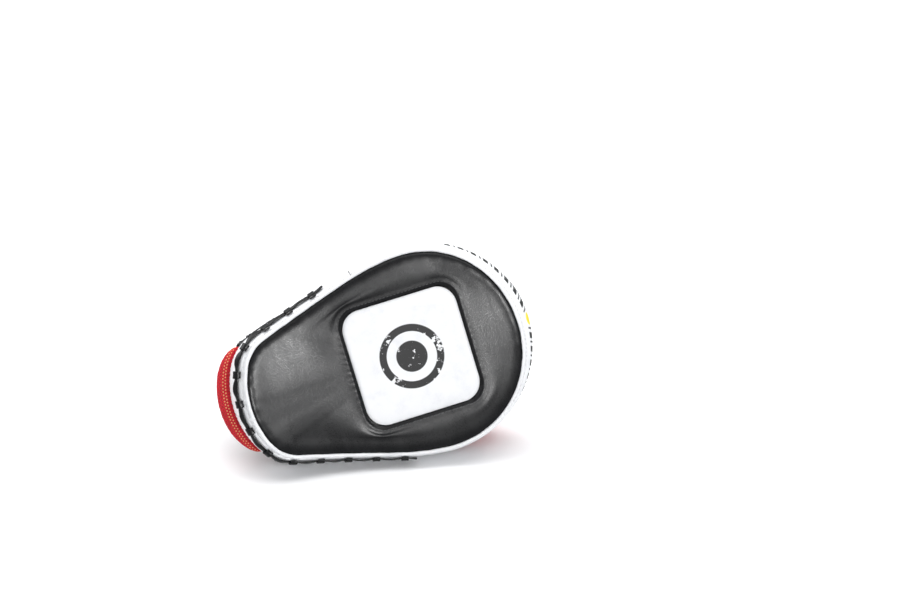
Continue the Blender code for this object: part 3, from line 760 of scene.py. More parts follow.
blackLeather = makeBlackLeather("blackLeather")
pocketLeather = makeBlackLeather("pocketLeather", pocketPrint)
strapLeather = makeBlackLeather("strapLeather", strapPrint)
laceLeather = makeBlackLeather("laceLeather")
whiteLeather = makeWhiteLeather("whiteLeather")
targetLeather = makeWhiteLeather("targetLeather", targetPrint)
bandLeather = makeWhiteLeather("bandLeather", bandPrint)
pipingVinyl = makeWhiteLeather("pipingVinyl", roughness=0.30)
# both red meshes have painted shade in their holes, the cushion less of it
meshRed = makeRedMesh("redSpacerMesh")
# the cushion also has painted glints in its holes along one strip of its roll
cushionMesh = makeRedMesh("redCushionMesh", (0.0425, 0.0480), 0.35)
liningCloth = makeWoven("lining", (0.028, 0.028, 0.031), (0.060, 0.061, 0.066), 1500.0)
bindingTape = makeWoven("bindingTape", (0.012, 0.012, 0.013), (0.032, 0.032, 0.035), 2200.0, 0.7, 0.0001)
foam = makeFoam()
whiteThread = makeThread("whiteThread", (0.80, 0.80, 0.80))
blackThread = makeThread("blackThread", (0.035, 0.035, 0.038))
nickel = makeNickel()
hookTape = makeHookTape()
tabRubber = makeRubber()
print("materials made:", len(bpy.data.materials))


# stitches and other repeats
stitch = {
    "pitch": 0.0040,
    "length": 0.0031,
    "width": 0.0009,
    "height": 0.0007,
    "slant": 0.10,
    "unevenness": 0.06,
    "seat": 0.00012,
}


def newTree(name, inputs):
    tree = bpy.data.node_groups.new(name, "GeometryNodeTree")
    tree.interface.new_socket("Geometry", in_out="INPUT", socket_type="NodeSocketGeometry")
    tree.interface.new_socket("Geometry", in_out="OUTPUT", socket_type="NodeSocketGeometry")
    for label, kind in inputs:
        tree.interface.new_socket(label, in_out="INPUT", socket_type="NodeSocket" + kind)
    return tree


def addNode(tree, kind, settings=None, links=None, output=0):
    node = tree.nodes.new(kind)
    for key, value in (settings or {}).items():
        setattr(node, key, value)
    for key, value in (links or {}).items():
        if hasattr(value, "is_linked"):
            tree.links.new(value, node.inputs[key])
        else:
            node.inputs[key].default_value = value
    return node.outputs[output] if output is not None else node


def facing(tree, ahead, outward):
    first = addNode(tree, "FunctionNodeAlignRotationToVector", {"axis": "X"}, {"Vector": ahead})
    settings = {"axis": "Z", "pivot_axis": "X"}
    sockets = {"Rotation": first, "Vector": outward}
    return addNode(tree, "FunctionNodeAlignRotationToVector", settings, sockets)


def namedVector(tree, name):
    settings = {"data_type": "FLOAT_VECTOR"}
    return addNode(tree, "GeometryNodeInputNamedAttribute", settings, {"Name": name})


def endTree(tree, placed, material):
    placed = addNode(tree, "GeometryNodeRealizeInstances", None, {"Geometry": placed})
    placed = addNode(tree, "GeometryNodeSetMaterial", None, {"Geometry": placed, "Material": material})
    tree.links.new(placed, tree.nodes.new("NodeGroupOutput").inputs[0])
    return tree


def makeStitchTree():
    sizes = [(name, "Float") for name in ("Pitch", "Length", "Width", "Height", "Slant")]
    tree = newTree("stitchRow", (*sizes, ("Seed", "Int"), ("Thread", "Material")))
    given = tree.nodes.new("NodeGroupInput").outputs
    curve = addNode(tree, "GeometryNodeMeshToCurve", None, {"Mesh": given["Geometry"]})
    sockets = {"Curve": curve, "Length": given["Pitch"]}
    curve = addNode(tree, "GeometryNodeResampleCurve", {"mode": "LENGTH"}, sockets)
    bead = addNode(tree, "GeometryNodeMeshUVSphere", None, {"Segments": 8, "Rings": 6, "Radius": 0.5})
    sides = {k: given[name] for k, name in enumerate(("Length", "Width", "Height"))}
    size = addNode(tree, "ShaderNodeCombineXYZ", None, sides)
    bead = addNode(tree, "GeometryNodeTransform", None, {"Geometry": bead, "Scale": size})
    turn = facing(tree, addNode(tree, "GeometryNodeInputTangent"), namedVector(tree, "outward"))
    chance = tree.nodes.new("FunctionNodeRandomValue")
    chance.data_type = "FLOAT"
    floats = [s for s in chance.inputs if s.type == "VALUE" and s.enabled]
    floats[0].default_value, floats[1].default_value = -stitch["unevenness"], stitch["unevenness"]
    tree.links.new(given["Seed"], chance.inputs["Seed"])
    jitter = next(s for s in chance.outputs if s.type == "VALUE" and s.enabled)
    lean = addNode(tree, "ShaderNodeMath", {"operation": "ADD"}, {0: jitter, 1: given["Slant"]})
    lean = addNode(tree, "ShaderNodeCombineXYZ", None, {2: lean})
    settings = {"rotation_space": "LOCAL"}
    turned = addNode(tree, "FunctionNodeRotateRotation", settings, {"Rotation": turn}, None)
    euler = addNode(tree, "FunctionNodeEulerToRotation", None, {"Euler": lean})
    tree.links.new(euler, turned.inputs["Rotate By"])
    sockets = {"Points": curve, "Instance": bead, "Rotation": turned.outputs[0]}
    placed = addNode(tree, "GeometryNodeInstanceOnPoints", None, sockets)
    return endTree(tree, placed, given["Thread"])


def makeCopyTree():
    tree = newTree("copiesOnPoints", (("Copy", "Object"), ("Size", "Float"), ("Finish", "Material")))
    given = tree.nodes.new("NodeGroupInput").outputs
    settings = {"transform_space": "ORIGINAL"}
    info = addNode(tree, "GeometryNodeObjectInfo", settings, {"Object": given["Copy"]}, None)
    turn = facing(tree, namedVector(tree, "ahead"), namedVector(tree, "outward"))
    sockets = {"Points": given["Geometry"], "Instance": info.outputs["Geometry"]}
    sockets.update({"Rotation": turn, "Scale": given["Size"]})
    placed = addNode(tree, "GeometryNodeInstanceOnPoints", None, sockets)
    return endTree(tree, placed, given["Finish"])


stitchTree = makeStitchTree()
copyTree = makeCopyTree()


def runTree(obj, tree, values):
    modifier = obj.modifiers.new(tree.name, "NODES")
    modifier.node_group = tree
    sockets = {item.name: item.identifier for item in tree.interface.items_tree if item.in_out == "INPUT"}
    for label, value in values.items():
        modifier[sockets[label]] = value
    settle(obj)
    obj.data.shade_smooth()
    return obj


def addPoints(name, points, edges, **vectors):
    # loose points, with named vectors at each of them
    data = bpy.data.meshes.new(name)
    data.from_pydata(points, edges, [])
    for key, values in vectors.items():
        layer = data.attributes.new(key, "FLOAT_VECTOR", "POINT")
        layer.data.foreach_set("vector", values.astype(np.float32).ravel())
    obj = bpy.data.objects.new(name, data)
    bpy.context.scene.collection.objects.link(obj)
    return obj


def stitchAlong(name, rows, thread, seed, body="mitt", slot="black_leather", **changes):
    # rows of (flat points, flat points just above them, closed)
    points, edges, outward = [], [], []
    for low, high, closed in rows:
        low, high = stand(low), stand(high)
        out = high - low
        out /= np.linalg.norm(out, axis=1, keepdims=True)
        first, count = len(points), len(low)
        points += (low + out * stitch["seat"]).tolist()
        edges += [(first + k, first + k + 1) for k in range(count - 1)]
        if closed:
            edges.append((first + count - 1, first))
        outward.append(out)
    obj = addPoints(name, points, edges, outward=np.concatenate(outward))
    v = {**stitch, **changes}
    values = {"Pitch": v["pitch"], "Length": v["length"], "Width": v["width"], "Height": v["height"]}
    runTree(obj, stitchTree, {**values, "Slant": v["slant"], "Seed": seed, "Thread": thread})
    if body:
        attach(obj, body)
    return obj


# face pad, target patch and foam
facePad = {
    "columns": 400,
    # inset and height
    "side": [(0.0200, 0.0246), (0.0110, 0.0246), (0.0042, 0.0248), (0.0042, 0.0275), (0.0056, 0.0302)]
    + [(0.0066, 0.0325)],
    "rim": [(0.0070, 0.0338), (0.0076, 0.0350), (0.0087, 0.0361), (0.0102, 0.0369), (0.0122, 0.0375)]
    + [(0.0150, 0.03795), (0.0180, 0.0382), (0.0220, 0.0384)],
    "rounds": [-0.0040, -0.0012, -0.0004, 0.0001, 0.0006, 0.0011, 0.0017, 0.0025, 0.0036, 0.0052, 0.0075],
    "between": 16,
    "crown": 0.0004,
    "wristCrown": 0.0018,
    "lumps": 0.00003,
    "puckerDepth": 0.0003,
    "puckerPitch": 0.014,
    "grooveDepth": 0.0022,
    "grooveWidth": 0.0017,
    "seamAway": 0.0042,
}


def squareRadius(angle, half, corner):
    # from the middle of a square with round corners to its edge
    c, s = np.abs(np.cos(angle)), np.abs(np.sin(angle))
    flat = half - corner
    side = half / np.maximum(np.maximum(c, s), 1e-9)
    arc = flat * (c + s) + np.sqrt(np.maximum(flat**2 * (c + s) ** 2 - 2 * flat**2 + corner**2, 0))
    return np.where(side * np.minimum(c, s) <= flat, side, arc)


def aroundPatch(angle, away):
    half = target["side"] / 2
    radius = squareRadius(angle, half + away, target["corner"] + away)
    return np.stack([target["x"] + radius * np.cos(angle), radius * np.sin(angle)], -1)


def makeFacePad():
    v = facePad
    s = np.linspace(0, 2 * halfLength, v["columns"], endpoint=False)
    centre = np.array([target["x"], 0.0])
    inner = onOutline(s, *v["side"][0])
    inner[:, :2] = centre + (inner[:, :2] - centre) * 0.02
    rings = [inner] + [onOutline(s, inset, z) for inset, z in v["side"]]
    pucker = ripple(s, v["puckerPitch"], 11, 2 * halfLength)
    slow = ripple(s, 0.07, 12, 2 * halfLength) - 0.5
    for inset, z in v["rim"]:
        depth = v["puckerDepth"] * math.exp(-(((inset - 0.0088) / 0.0042) ** 2))
        wave = 0.0003 * slow * min((inset - 0.007) / 0.006, 1.0)
        rings.append(onOutline(s, inset, z - depth * pucker + wave))
    edge = rings[-1]
    angle = np.arctan2(edge[:, 1], edge[:, 0] - target["x"])
    outer = aroundPatch(angle, v["rounds"][-1])
    for k in range(1, v["between"]):
        share = k / v["between"]
        xy = edge[:, :2] * (1 - share) + outer * share
        wide = np.sin(math.pi * share)
        lumps = np.sin(xy[:, 0] * 71 + 1.3 + 2 * np.sin(xy[:, 1] * 47)) * np.sin(xy[:, 1] * 63 + 0.4)
        # the wrist half is filled a little fuller along its middle
        full = np.exp(-((xy[:, 1] / 0.050) ** 2)) * np.clip(-np.cos(angle), 0, 1)
        z = edge[:, 2] * (1 - share) + mitt["faceTop"] * share
        z = z + wide * (v["crown"] + v["wristCrown"] * full + v["lumps"] * lumps)
        rings.append(np.column_stack([xy, z]))
    ruck = ripple(angle * 0.06, 0.007, 13, 2 * math.pi * 0.06)
    for away in reversed(v["rounds"]):
        xy = aroundPatch(angle, away)
        groove = math.exp(-(((away - 0.0004) / v["grooveWidth"]) ** 2))
        rucked = 0.0002 * ruck * math.exp(-(((away - 0.003) / 0.002) ** 2))
        z = mitt["faceTop"] - v["grooveDepth"] * groove - rucked
        if away < 0:
            z = np.full(len(xy), mitt["faceTop"] - v["grooveDepth"] - 0.0008)
        rings.append(np.column_stack([xy, z]))
    last = rings[-1].copy()
    last[:, :2] = centre + (last[:, :2] - centre) * 0.05
    rings.append(last)
    obj = addGrid("facePad", np.array(rings), uv="flat", closeColumns=True, capEnds=True)
    finish(obj, "mitt", blackLeather, "black_leather", "face_panel", "front_foam")
    seam = aroundPatch(angle, v["seamAway"])
    low = np.column_stack([seam, np.full(len(seam), mitt["faceTop"] - 0.0001)])
    row = (low, low + (0, 0, 0.001), True)
    stitchAlong("patchStitching", [row], blackThread, 21, pitch=0.0036, length=0.0028)


def makeTargetPatch():
    angle = np.linspace(0, 2 * math.pi, 321)[:-1]
    # crowd the columns at the corners, where the edge turns
    angle = angle - 0.10 * np.sin(4 * angle) * 0.5
    rings = []
    ruck = ripple(angle * 0.06, 0.009, 14, 2 * math.pi * 0.06)
    for depth in target["depths"]:
        half = target["side"] / 2 - depth
        corner = max(target["corner"] - depth, half * 0.35)
        radius = squareRadius(angle, half, min(corner, half))
        lift = target["puff"] * (1 - math.exp(-depth / 0.0035))
        lift = lift - target["edgeDrop"] * math.exp(-depth / 0.0011)
        z = mitt["faceTop"] + lift - 0.00022 * ruck * math.exp(-(((depth - 0.003) / 0.002) ** 2))
        xy = np.stack([target["x"] + radius * np.cos(angle), radius * np.sin(angle)], -1)
        rings.append(np.column_stack([xy, np.broadcast_to(z, len(xy))]))
    obj = addGrid("targetPatch", np.array(rings), uv="flat", closeColumns=True)
    # close the middle with one small face, then give the leather its thickness
    fill = bmesh.new()
    fill.from_mesh(obj.data)
    border = sorted((e for e in fill.edges if e.is_boundary), key=lambda e: e.calc_length())[: len(angle)]
    bmesh.ops.holes_fill(fill, edges=border, sides=0)
    layer = fill.loops.layers.uv[0]
    for face in fill.faces:
        if len(face.verts) > 4:
            for loop in face.loops:
                loop[layer].uv = layFlat(np.array([loop.vert.co]))[0][:2]
    fill.to_mesh(obj.data)
    fill.free()
    low, high = stand(np.array([[target["x"], 0, 0.03], [target["x"], 0, 0.05]]))
    faceTowards(obj, high - low)
    addWall(obj, target["thickness"])
    finish(obj, "mitt", targetLeather, "white_leather", "target_patch")


def makeSlab(name, section, columns, material, slot, *nodes):
    # a closed slab from a section of (inset, z)
    s = np.linspace(0, 2 * halfLength, columns, endpoint=False)
    rings = [onOutline(s, inset, z) for inset, z in section]
    for end in (0, -1):
        ring = rings[end].copy()
        ring[:, :2] = np.array(mitt["middle"][:2]) + (ring[:, :2] - mitt["middle"][:2]) * 0.03
        rings.insert(0, ring) if end == 0 else rings.append(ring)
    obj = addGrid(name, np.array(rings), uv="flat", closeColumns=True, capEnds=True)
    finish(obj, "mitt", material, slot, *nodes)
    return obj


makeFacePad()
makeTargetPatch()
# inset and height
core = [(0.020, 0.0032), (0.0075, 0.0032), (0.0056, 0.0040), (0.0046, 0.0070), (0.0038, 0.0110)]
core += [(0.0032, 0.0170), (0.0034, 0.0228), (0.0050, 0.0238), (0.020, 0.0238)]
makeSlab("foamCore", core, 160, foam, "foam", "core_foam", "rear_foam")
print("face pad, target patch and foam made")


# bands, piping and lace
band = {
    # inset and height
    "section": [(0.0049, 0.0329), (0.0022, 0.0295), (0.0006, 0.0240), (0.0, 0.0180), (0.0005, 0.0110)]
    + [(0.0016, 0.0050), (0.0026, 0.0015)],
    "steps": 20,
    "gap": 0.0004,
    "thickness": 0.0014,
    "puckerDepth": 0.0006,
    "puckerPitch": 0.012,
    "spacing": 0.0018,
}
seamLength = lengthAt(mitt["bandSeamX"])


def bandProfile(steps):
    section = np.array(band["section"])
    place = np.concatenate([[0], np.cumsum(np.linalg.norm(np.diff(section, axis=0), axis=1))])
    fit = np.linspace(0, place[-1], steps)
    smooth = []
    for axis in (0, 1):
        # a gentle curve through the section
        values = np.interp(fit, place, section[:, axis])
        for _ in range(3):
            values[1:-1] = (values[:-2] + 2 * values[1:-1] + values[2:]) / 4
        smooth.append(values)
    return smooth


def makeBand(name, start, end, seed, material, *nodes):
    s = np.linspace(start, end, int(abs(end - start) / band["spacing"]))
    inset, z = bandProfile(band["steps"])
    share = np.linspace(0, 1, band["steps"])
    pucker = ripple(s, band["puckerPitch"], seed)
    ends = np.exp(-((s - start) / 0.002) ** 2) + np.exp(-((end - s) / 0.002) ** 2)
    rims = np.exp(-((share - 0.07) / 0.07) ** 2) + 0.8 * np.exp(-((share - 0.94) / 0.06) ** 2)
    depth = band["puckerDepth"] * (pucker[:, None] * rims[None]) + 0.0005 * ends[:, None]
    swell = -0.0004 * np.sin(math.pi * share)[None] * (0.6 + 0.4 * ripple(s, 0.05, seed + 1))[:, None]
    flat = onOutline(s[:, None], inset[None] + depth + swell, z[None])
    uv = np.stack(np.broadcast_arrays(s[:, None], z[None]), -1)
    obj = addGrid(name, flat, uv=uv, awayFrom=mitt["middle"])
    addWall(obj, band["thickness"])
    finish(obj, "mitt", material, "white_leather", *nodes)


piping = {"inset": 0.0056, "level": 0.0349, "radius": 0.00155, "wander": 0.00022, "swell": 0.00012}


def makePiping():
    v = piping
    s = np.linspace(0, 2 * halfLength, 520, endpoint=False)
    wander = v["wander"] * (ripple(s, 0.022, 31, 2 * halfLength) - 0.5)
    path = onOutline(s, v["inset"] + wander, v["level"] + wander)
    radius = v["radius"] + v["swell"] * ripple(s, 0.006, 32, 2 * halfLength)
    obj = addTube("facePiping", path, np.array([0, 0, 1.0]), radius, 12, closed=True)
    finish(obj, "mitt", pipingVinyl, "white_leather", "front_piping")


lace = {
    "fromX": 0.110,
    "toX": 0.150,
    "level": 0.0255,
    "width": 0.0052,
    "thickness": 0.0015,
    "lift": 0.0004,
    "arch": 0.0013,
    "keepers": 13,
    "before": 0.004,
    "after": 0.002,
    "endRound": 0.003,
}
laceStart = lengthAt(lace["fromX"])
laceTotal = 2 * halfLength - lengthAt(lace["toX"]) - laceStart
lacePitch = laceTotal / (lace["keepers"] - 0.3)


def makeLace():
    v = lace
    s = np.linspace(-v["before"], laceTotal + v["after"], 700)
    # the lace rises between its keepers
    rise = np.sin(math.pi * (s / lacePitch - 0.35)) ** 2
    lift = v["lift"] + v["arch"] * rise + v["thickness"] / 2
    twist = 0.35 * (ripple(s, 0.030, 41) - 0.5)
    level = v["level"] + 0.0007 * (ripple(s, 0.045, 42) - 0.5)
    turn = np.arange(16) * 2 * math.pi / 16
    # a flat strip with round edges, pulled narrow under each keeper; its free ends are cut round
    belly = 0.84 + 0.36 * rise
    wide = np.sign(np.cos(turn)) * np.abs(np.cos(turn)) ** 0.55 * v["width"] / 2
    thick = np.sign(np.sin(turn)) * np.abs(np.sin(turn)) ** 0.7 * v["thickness"] / 2
    narrow = 1.0
    for left in (s + v["before"], laceTotal + v["after"] - s):
        short = 1 - np.clip(left / v["endRound"], 0, 1)
        narrow = narrow * np.sqrt(np.clip(1 - short**2, 0.02, 1))
    narrow = narrow * belly
    across = wide[None] * np.cos(twist)[:, None] * narrow[:, None] - thick[None] * np.sin(twist)[:, None]
    out = thick[None] * np.cos(twist)[:, None] + wide[None] * np.sin(twist)[:, None] * narrow[:, None]
    height = level[:, None] + across
    flat = onOutline((laceStart + s)[:, None], bandInset(height) - lift[:, None] - out, height)
    obj = addGrid("wristLace", flat, closeColumns=True, capEnds=True)
    finish(obj, "mitt", laceLeather, "lace_leather", "wrist_lace")


keeper = {"length": 0.0070, "half": 0.0037, "top": 0.0027, "wall": 0.0010}


def makeKeepers():
    # one leather loop, copied round the wrist
    length, half, top = keeper["length"], keeper["half"], keeper["top"]
    section = [(-0.0060, 0.0002), (-0.0046, 0.0003), (-half, 0.0007), (-half + 0.0001, top * 0.7)]
    section.append((-0.0028, top))
    section = np.array(section + [(0.0, top + 0.0003)] + [(-a, b) for a, b in reversed(section)])
    rows = []
    for share in np.linspace(-0.5, 0.5, 9):
        pull = 1 - 0.10 * (1 - (2 * share) ** 2)
        rows.append([(share * length * (1 + 0.06 * math.cos(a * 500)), a * pull, b) for a, b in section])
    rows = np.array(rows)
    faces = gridFaces(9, 11)
    loopUv = [rows.reshape(-1, 3)[i][:2] for face in faces for i in face]
    loop = addObject("keeperLoop", rows, faces, loopUv)
    if sum(p.normal.z for p in loop.data.polygons) < 0:
        loop.data.flip_normals()
    wallUp = loop.modifiers.new("wall", "SOLIDIFY")
    wallUp.thickness, wallUp.offset = keeper["wall"], 1.0
    soften = loop.modifiers.new("soften", "SUBSURF")
    soften.levels = soften.render_levels = 1
    settle(loop)
    spots = laceStart + lacePitch * (0.35 + np.arange(lace["keepers"]))
    level, inset = lace["level"], float(bandInset(lace["level"]))
    here = onOutline(spots, inset, level)
    ahead = stand(onOutline(spots + 0.002, inset, level)) - stand(onOutline(spots - 0.002, inset, level))
    lower, upper = (stand(onOutline(spots, bandInset(level + d), level + d)) for d in (-0.005, 0.005))
    outward = np.cross(ahead, upper - lower)
    outward *= np.sign(np.sum(outward * (stand(onOutline(spots, -0.01, level)) - stand(here)), 1))[:, None]
    obj = addPoints("laceKeepers", stand(here).tolist(), [], ahead=ahead, outward=outward)
    runTree(obj, copyTree, {"Copy": loop, "Size": 1.0, "Finish": blackLeather})
    bpy.data.objects.remove(loop)
    nodes = [f"lace_keeper_{k + 1:02d}" for k in range(lace["keepers"])]
    finish(obj, "mitt", None, "black_leather", *nodes)


fingerEnd, wristEnd = seamLength - band["gap"], seamLength + band["gap"]
makeBand("bandFinger", -fingerEnd, fingerEnd, 51, bandLeather, "band_finger_half")
makeBand("bandWrist", wristEnd, 2 * halfLength - wristEnd, 53, whiteLeather, "band_wrist_half")
makePiping()
makeLace()
makeKeepers()


def bandRows():
    s = np.linspace(0, 2 * halfLength, int(2 * halfLength / 0.003), endpoint=False)
    rows = []
    for inset, z in ((0.0036, 0.0312), (0.0022, 0.0036)):
        low = onOutline(s, inset, z)
        rows.append((low, onOutline(s, inset - 0.002, z), True))
    return rows


stitchAlong("bandStitching", bandRows(), whiteThread, 22, slot="white_leather", pitch=0.0042)


def makeThreadEnds():
    # loose ends of thread at the band's upper seam
    rng = np.random.default_rng(7)
    for k in range(3):
        t = np.linspace(0, 1, 14)
        start = seamLength + 0.0006 * (k - 1)
        length = 0.007 + 0.003 * k
        s = start + length * t * rng.uniform(0.5, 0.9) * (1 if k % 2 else -1)
        out = 0.0008 + 0.0035 * np.sin(t * 2.6) * rng.uniform(0.7, 1.2)
        z = 0.029 - 0.006 * k + 0.004 * t * rng.uniform(-1, 1)
        path = onOutline(s, -out + 0.0022 * (k == 0), z)
        obj = addTube(f"threadEnd{k + 1}", path, np.array([0, 0, 1.0]), 0.00028, 6)
        finish(obj, "mitt", whiteThread, "white_leather")


makeThreadEnds()
print("bands, piping and lace made")


# hand pocket
dome = {
    "inset": 0.0034,
    "base": -0.0004,
    "height": 0.060,
    "peakX": 0.120,
    "lipDrop": 0.004,
    "mouthX": 0.030,
    "slant": 0.30,
    "wallShare": 0.68,
    "shoulderT": 0.62,
    "tipX": 0.293 - 0.0034,
    "seamWidth": 0.052,
    "seamFlare": 0.020,
    "seamMiddle": 0.168,
    "seamReach": 0.085,
    "skin": 0.0015,
    "seamGapT": 0.010,
}


def halfWidth(x, inset):
    s = np.linspace(0, halfLength, 3000)
    edge = onOutline(s, inset, 0.0)
    return np.maximum(np.interp(-x, -edge[:, 0], edge[:, 1]), 0.0)


def domeHeight(x):
    d = dome
    low = d["height"] - d["lipDrop"] * ((d["peakX"] - x) / (d["peakX"] - d["mouthX"])) ** 2
    share = np.clip((x - d["peakX"]) / (d["tipX"] - d["peakX"]), 0, 1)
    return np.where(x < d["peakX"], low, d["height"] * np.sqrt(1 - share**2))


def domePoint(x, t, grow=0.0):
    # t from -1 at the -Y foot over the top to 1 at the +Y foot
    x, t, grow = np.broadcast_arrays(np.asarray(x, float), t, grow)
    d = dome
    width = halfWidth(x, d["inset"]) + grow
    height = domeHeight(x) + grow
    shoulder = d["wallShare"] * height
    q = np.abs(t)
    rise = (1 - q) / (1 - d["shoulderT"]) * shoulder
    s = np.clip(1 - q / d["shoulderT"], 0, 1)
    reach = height - shoulder
    edge = width - d["slant"] * shoulder
    a, b, c, e = (1 - s) ** 3, 3 * (1 - s) ** 2 * s, 3 * (1 - s) * s**2, s**3
    y = a * edge + b * (edge - d["slant"] * reach * 0.75) + c * 0.52 * width
    up = a * shoulder + b * (shoulder + reach * 0.75) + (c + e) * height
    over = q <= d["shoulderT"]
    y = np.where(over, y, width - d["slant"] * rise)
    return np.stack([x, np.copysign(y, t), d["base"] - np.where(over, up, rise)], -1)


def seamT(x):
    d = dome
    x = np.asarray(x, float)
    wanted = d["seamWidth"] + d["seamFlare"] * ((x - d["seamMiddle"]) / d["seamReach"]) ** 2
    low, high = np.zeros_like(x), np.ones_like(x)
    for _ in range(34):
        middle = (low + high) / 2
        under = domePoint(x, middle)[..., 1] < wanted
        low, high = np.where(under, middle, low), np.where(under, high, middle)
    return np.where(wanted >= halfWidth(x, d["inset"]), 1.0, low)


def seamEnds():
    x = dome["mouthX"] + 0.0005 * np.arange(480)
    inside = x[seamT(x) < 0.96]
    return float(inside[0]), float(inside[-1])


sideFrom, sideTo = seamEnds()


def domeUv(flat):
    # u is X, v the length over the back from its middle line
    steps = np.linalg.norm(np.diff(flat, axis=1), axis=2)
    run = np.concatenate([np.zeros((len(flat), 1)), steps.cumsum(1)], 1)
    half = run.shape[1] // 2
    return np.stack([flat[..., 0], run - run[:, half : half + 1]], -1)


def pocketStations():
    side = sideFrom + (sideTo - sideFrom) * (0.5 - 0.5 * np.cos(np.linspace(0, math.pi, 90)))
    before = np.linspace(dome["mouthX"], sideFrom - 0.0016, 26)
    after = dome["tipX"] - (dome["tipX"] - sideTo - 0.0016) * (1 - np.sin(np.linspace(0, math.pi / 2, 22)))
    return before, side, after


def makePocketCentre():
    before, side, after = pocketStations()
    after = after[:-1]
    x = np.concatenate([before, side, after, [dome["tipX"] - 0.00002]])
    edge = np.concatenate([np.ones(len(before)), np.minimum(seamT(side), 0.985), np.ones(len(after) + 1)])
    share = np.linspace(-1, 1, 97)
    t = edge[:, None] * share[None]
    atSeam = (edge < 0.99)[:, None] * 1.0
    rim = np.exp(-((1 - np.abs(share)) / 0.035) ** 2)[None]
    pucker = ripple(x, 0.009, 61)[:, None] * np.exp(-((1 - np.abs(share) - 0.07) / 0.06) ** 2)[None]
    length = np.clip((x - dome["mouthX"]) / (dome["tipX"] - dome["mouthX"]), 0, 1)
    fold = 0.0006 * np.sin(x * 95 + 1.1)[:, None] * np.cos(share * 4.2 + 0.5)[None]
    calm = np.clip((dome["tipX"] - x) / 0.02, 0, 1)[:, None]
    grow = (-0.0009 * rim - 0.0006 * pucker) * atSeam * calm
    grow = grow + fold * calm * 0.7 * np.sin(math.pi * length)[:, None]
    flat = domePoint(x[:, None], t, grow)
    obj = addGrid("pocketCentre", flat, uv=domeUv(flat), awayFrom=(0.15, 0, 0))
    addWall(obj, dome["skin"])
    finish(obj, "mitt", pocketLeather, "black_leather", "pocket_centre_panel")


def makePocketSide(name, side, node):
    _, x, _ = pocketStations()
    start = np.minimum(seamT(x) + dome["seamGapT"], 0.985)
    share = np.linspace(0, 1, 34)
    t = start[:, None] + (1 - start)[:, None] * share[None]
    lengthwise = np.linspace(0, 1, len(x))
    puff = np.sin(math.pi * share)[None] ** 0.6 * np.sin(math.pi * lengthwise)[:, None] ** 0.6
    rims = np.exp(-((share - 0.05) / 0.05) ** 2) + np.exp(-((share - 0.95) / 0.05) ** 2)
    pucker = ripple(x, 0.008, 63 + side)[:, None] * rims[None]
    edge = (np.exp(-(share / 0.05) ** 2) + np.exp(-((1 - share) / 0.04) ** 2))[None]
    grow = 0.0018 * puff - 0.0005 * pucker * puff**0.3 - 0.0009 * edge * puff**0.2
    flat = domePoint(x[:, None], side * t, grow)
    run = np.linalg.norm(np.diff(flat, axis=1), axis=2).cumsum(1)
    run = np.concatenate([np.zeros((len(x), 1)), run], 1)
    uv = np.stack([np.broadcast_to(x[:, None], run.shape), run[:, -1:] - run], -1)
    obj = addGrid(name, flat, uv=uv, awayFrom=(0.17, 0, -0.005))
    addWall(obj, dome["skin"])
    finish(obj, "mitt", meshRed, "red_mesh", node)


def makePocketWelts():
    # the turned edge between leather and mesh, and the one round the pocket's foot
    _, x, _ = pocketStations()
    for name, side in (("seamWeltUpper", 1), ("seamWeltLower", -1)):
        t = np.minimum(seamT(x) + dome["seamGapT"] * 0.5, 0.985)
        path = domePoint(x, side * t, -0.0010)
        out = domePoint(x, side * t, 0.004) - path
        obj = addTube(name, path, out, 0.0014, 10)
        finish(obj, "mitt", blackLeather, "black_leather")
    reach = lengthAt(dome["mouthX"] + 0.004)
    s = np.linspace(-reach, reach, 420)
    path = onOutline(s, 0.0036, 0.0005)
    obj = addTube("footWelt", path, np.array([0, 0, -1.0]), 0.0012 + 0.00012 * ripple(s, 0.012, 65), 10)
    finish(obj, "mitt", blackLeather, "black_leather")


def quilting(a, b):
    # 0 on the slanted rows of stitching, 1 between them
    return np.abs(np.sin(a + b)) * np.abs(np.sin(a - b))


def makePocketPadding():
    # a quilted lining: the outer side follows the pocket, the inner side swells between its rows of stitching
    before, side, _ = pocketStations()
    x = np.concatenate([np.linspace(dome["mouthX"] + 0.001, sideFrom, 40), side[1:-3]])
    t = np.linspace(-0.975, 0.975, 97)
    quilt = quilting(x[:, None] * 150, t[None] * 9)
    outer = domePoint(x[:, None], t[None], -0.0032)
    inner = domePoint(x[:, None], t[None], -0.0056 - 0.0012 * quilt**0.5)
    flat = np.concatenate([outer, inner[:, ::-1]], 1)
    obj = addGrid("pocketPadding", flat, closeColumns=True, capEnds="strip")
    finish(obj, "mitt", liningCloth, "lining", "pocket_padding")


def makeMouthBinding():
    inner = -(0.0031 + 0.0032 + 0.0014)
    section = [(0.0055, 0.0003), (0.0055, 0.0012), (0.0050, 0.0016), (0.0015, 0.0018), (-0.0008, 0.0014)]
    section += [(-0.0022, 0.0002), (-0.0026, -0.0030), (-0.0024, -0.0062), (-0.0012, inner - 0.0009)]
    section += [(0.0012, inner - 0.0012), (0.0050, inner - 0.0010), (0.0055, inner - 0.0005)]
    section += [(0.0055, inner + 0.0003), (0.0008, inner + 0.0005)]
    section += [(-0.0008, -0.0055), (-0.0010, -0.0015), (0.0002, 0.0002)]
    t = np.linspace(-0.93, 0.93, 150)
    wander = 0.0004 * (ripple(t, 0.09, 66) - 0.5)
    rows = [domePoint(dome["mouthX"] + dx, t, grow + wander) for dx, grow in section]
    flat = np.stack(rows, 1)
    obj = addGrid("mouthBinding", flat, closeColumns=True, capEnds=True)
    finish(obj, "mitt", bindingTape, "black_leather", "pocket_mouth_binding")


lining = {
    "insets": [0.0060, 0.0075, 0.0105, 0.0150, 0.0200],
    "middle": (0.150, 0.0),
    "thickness": 0.0014,
}


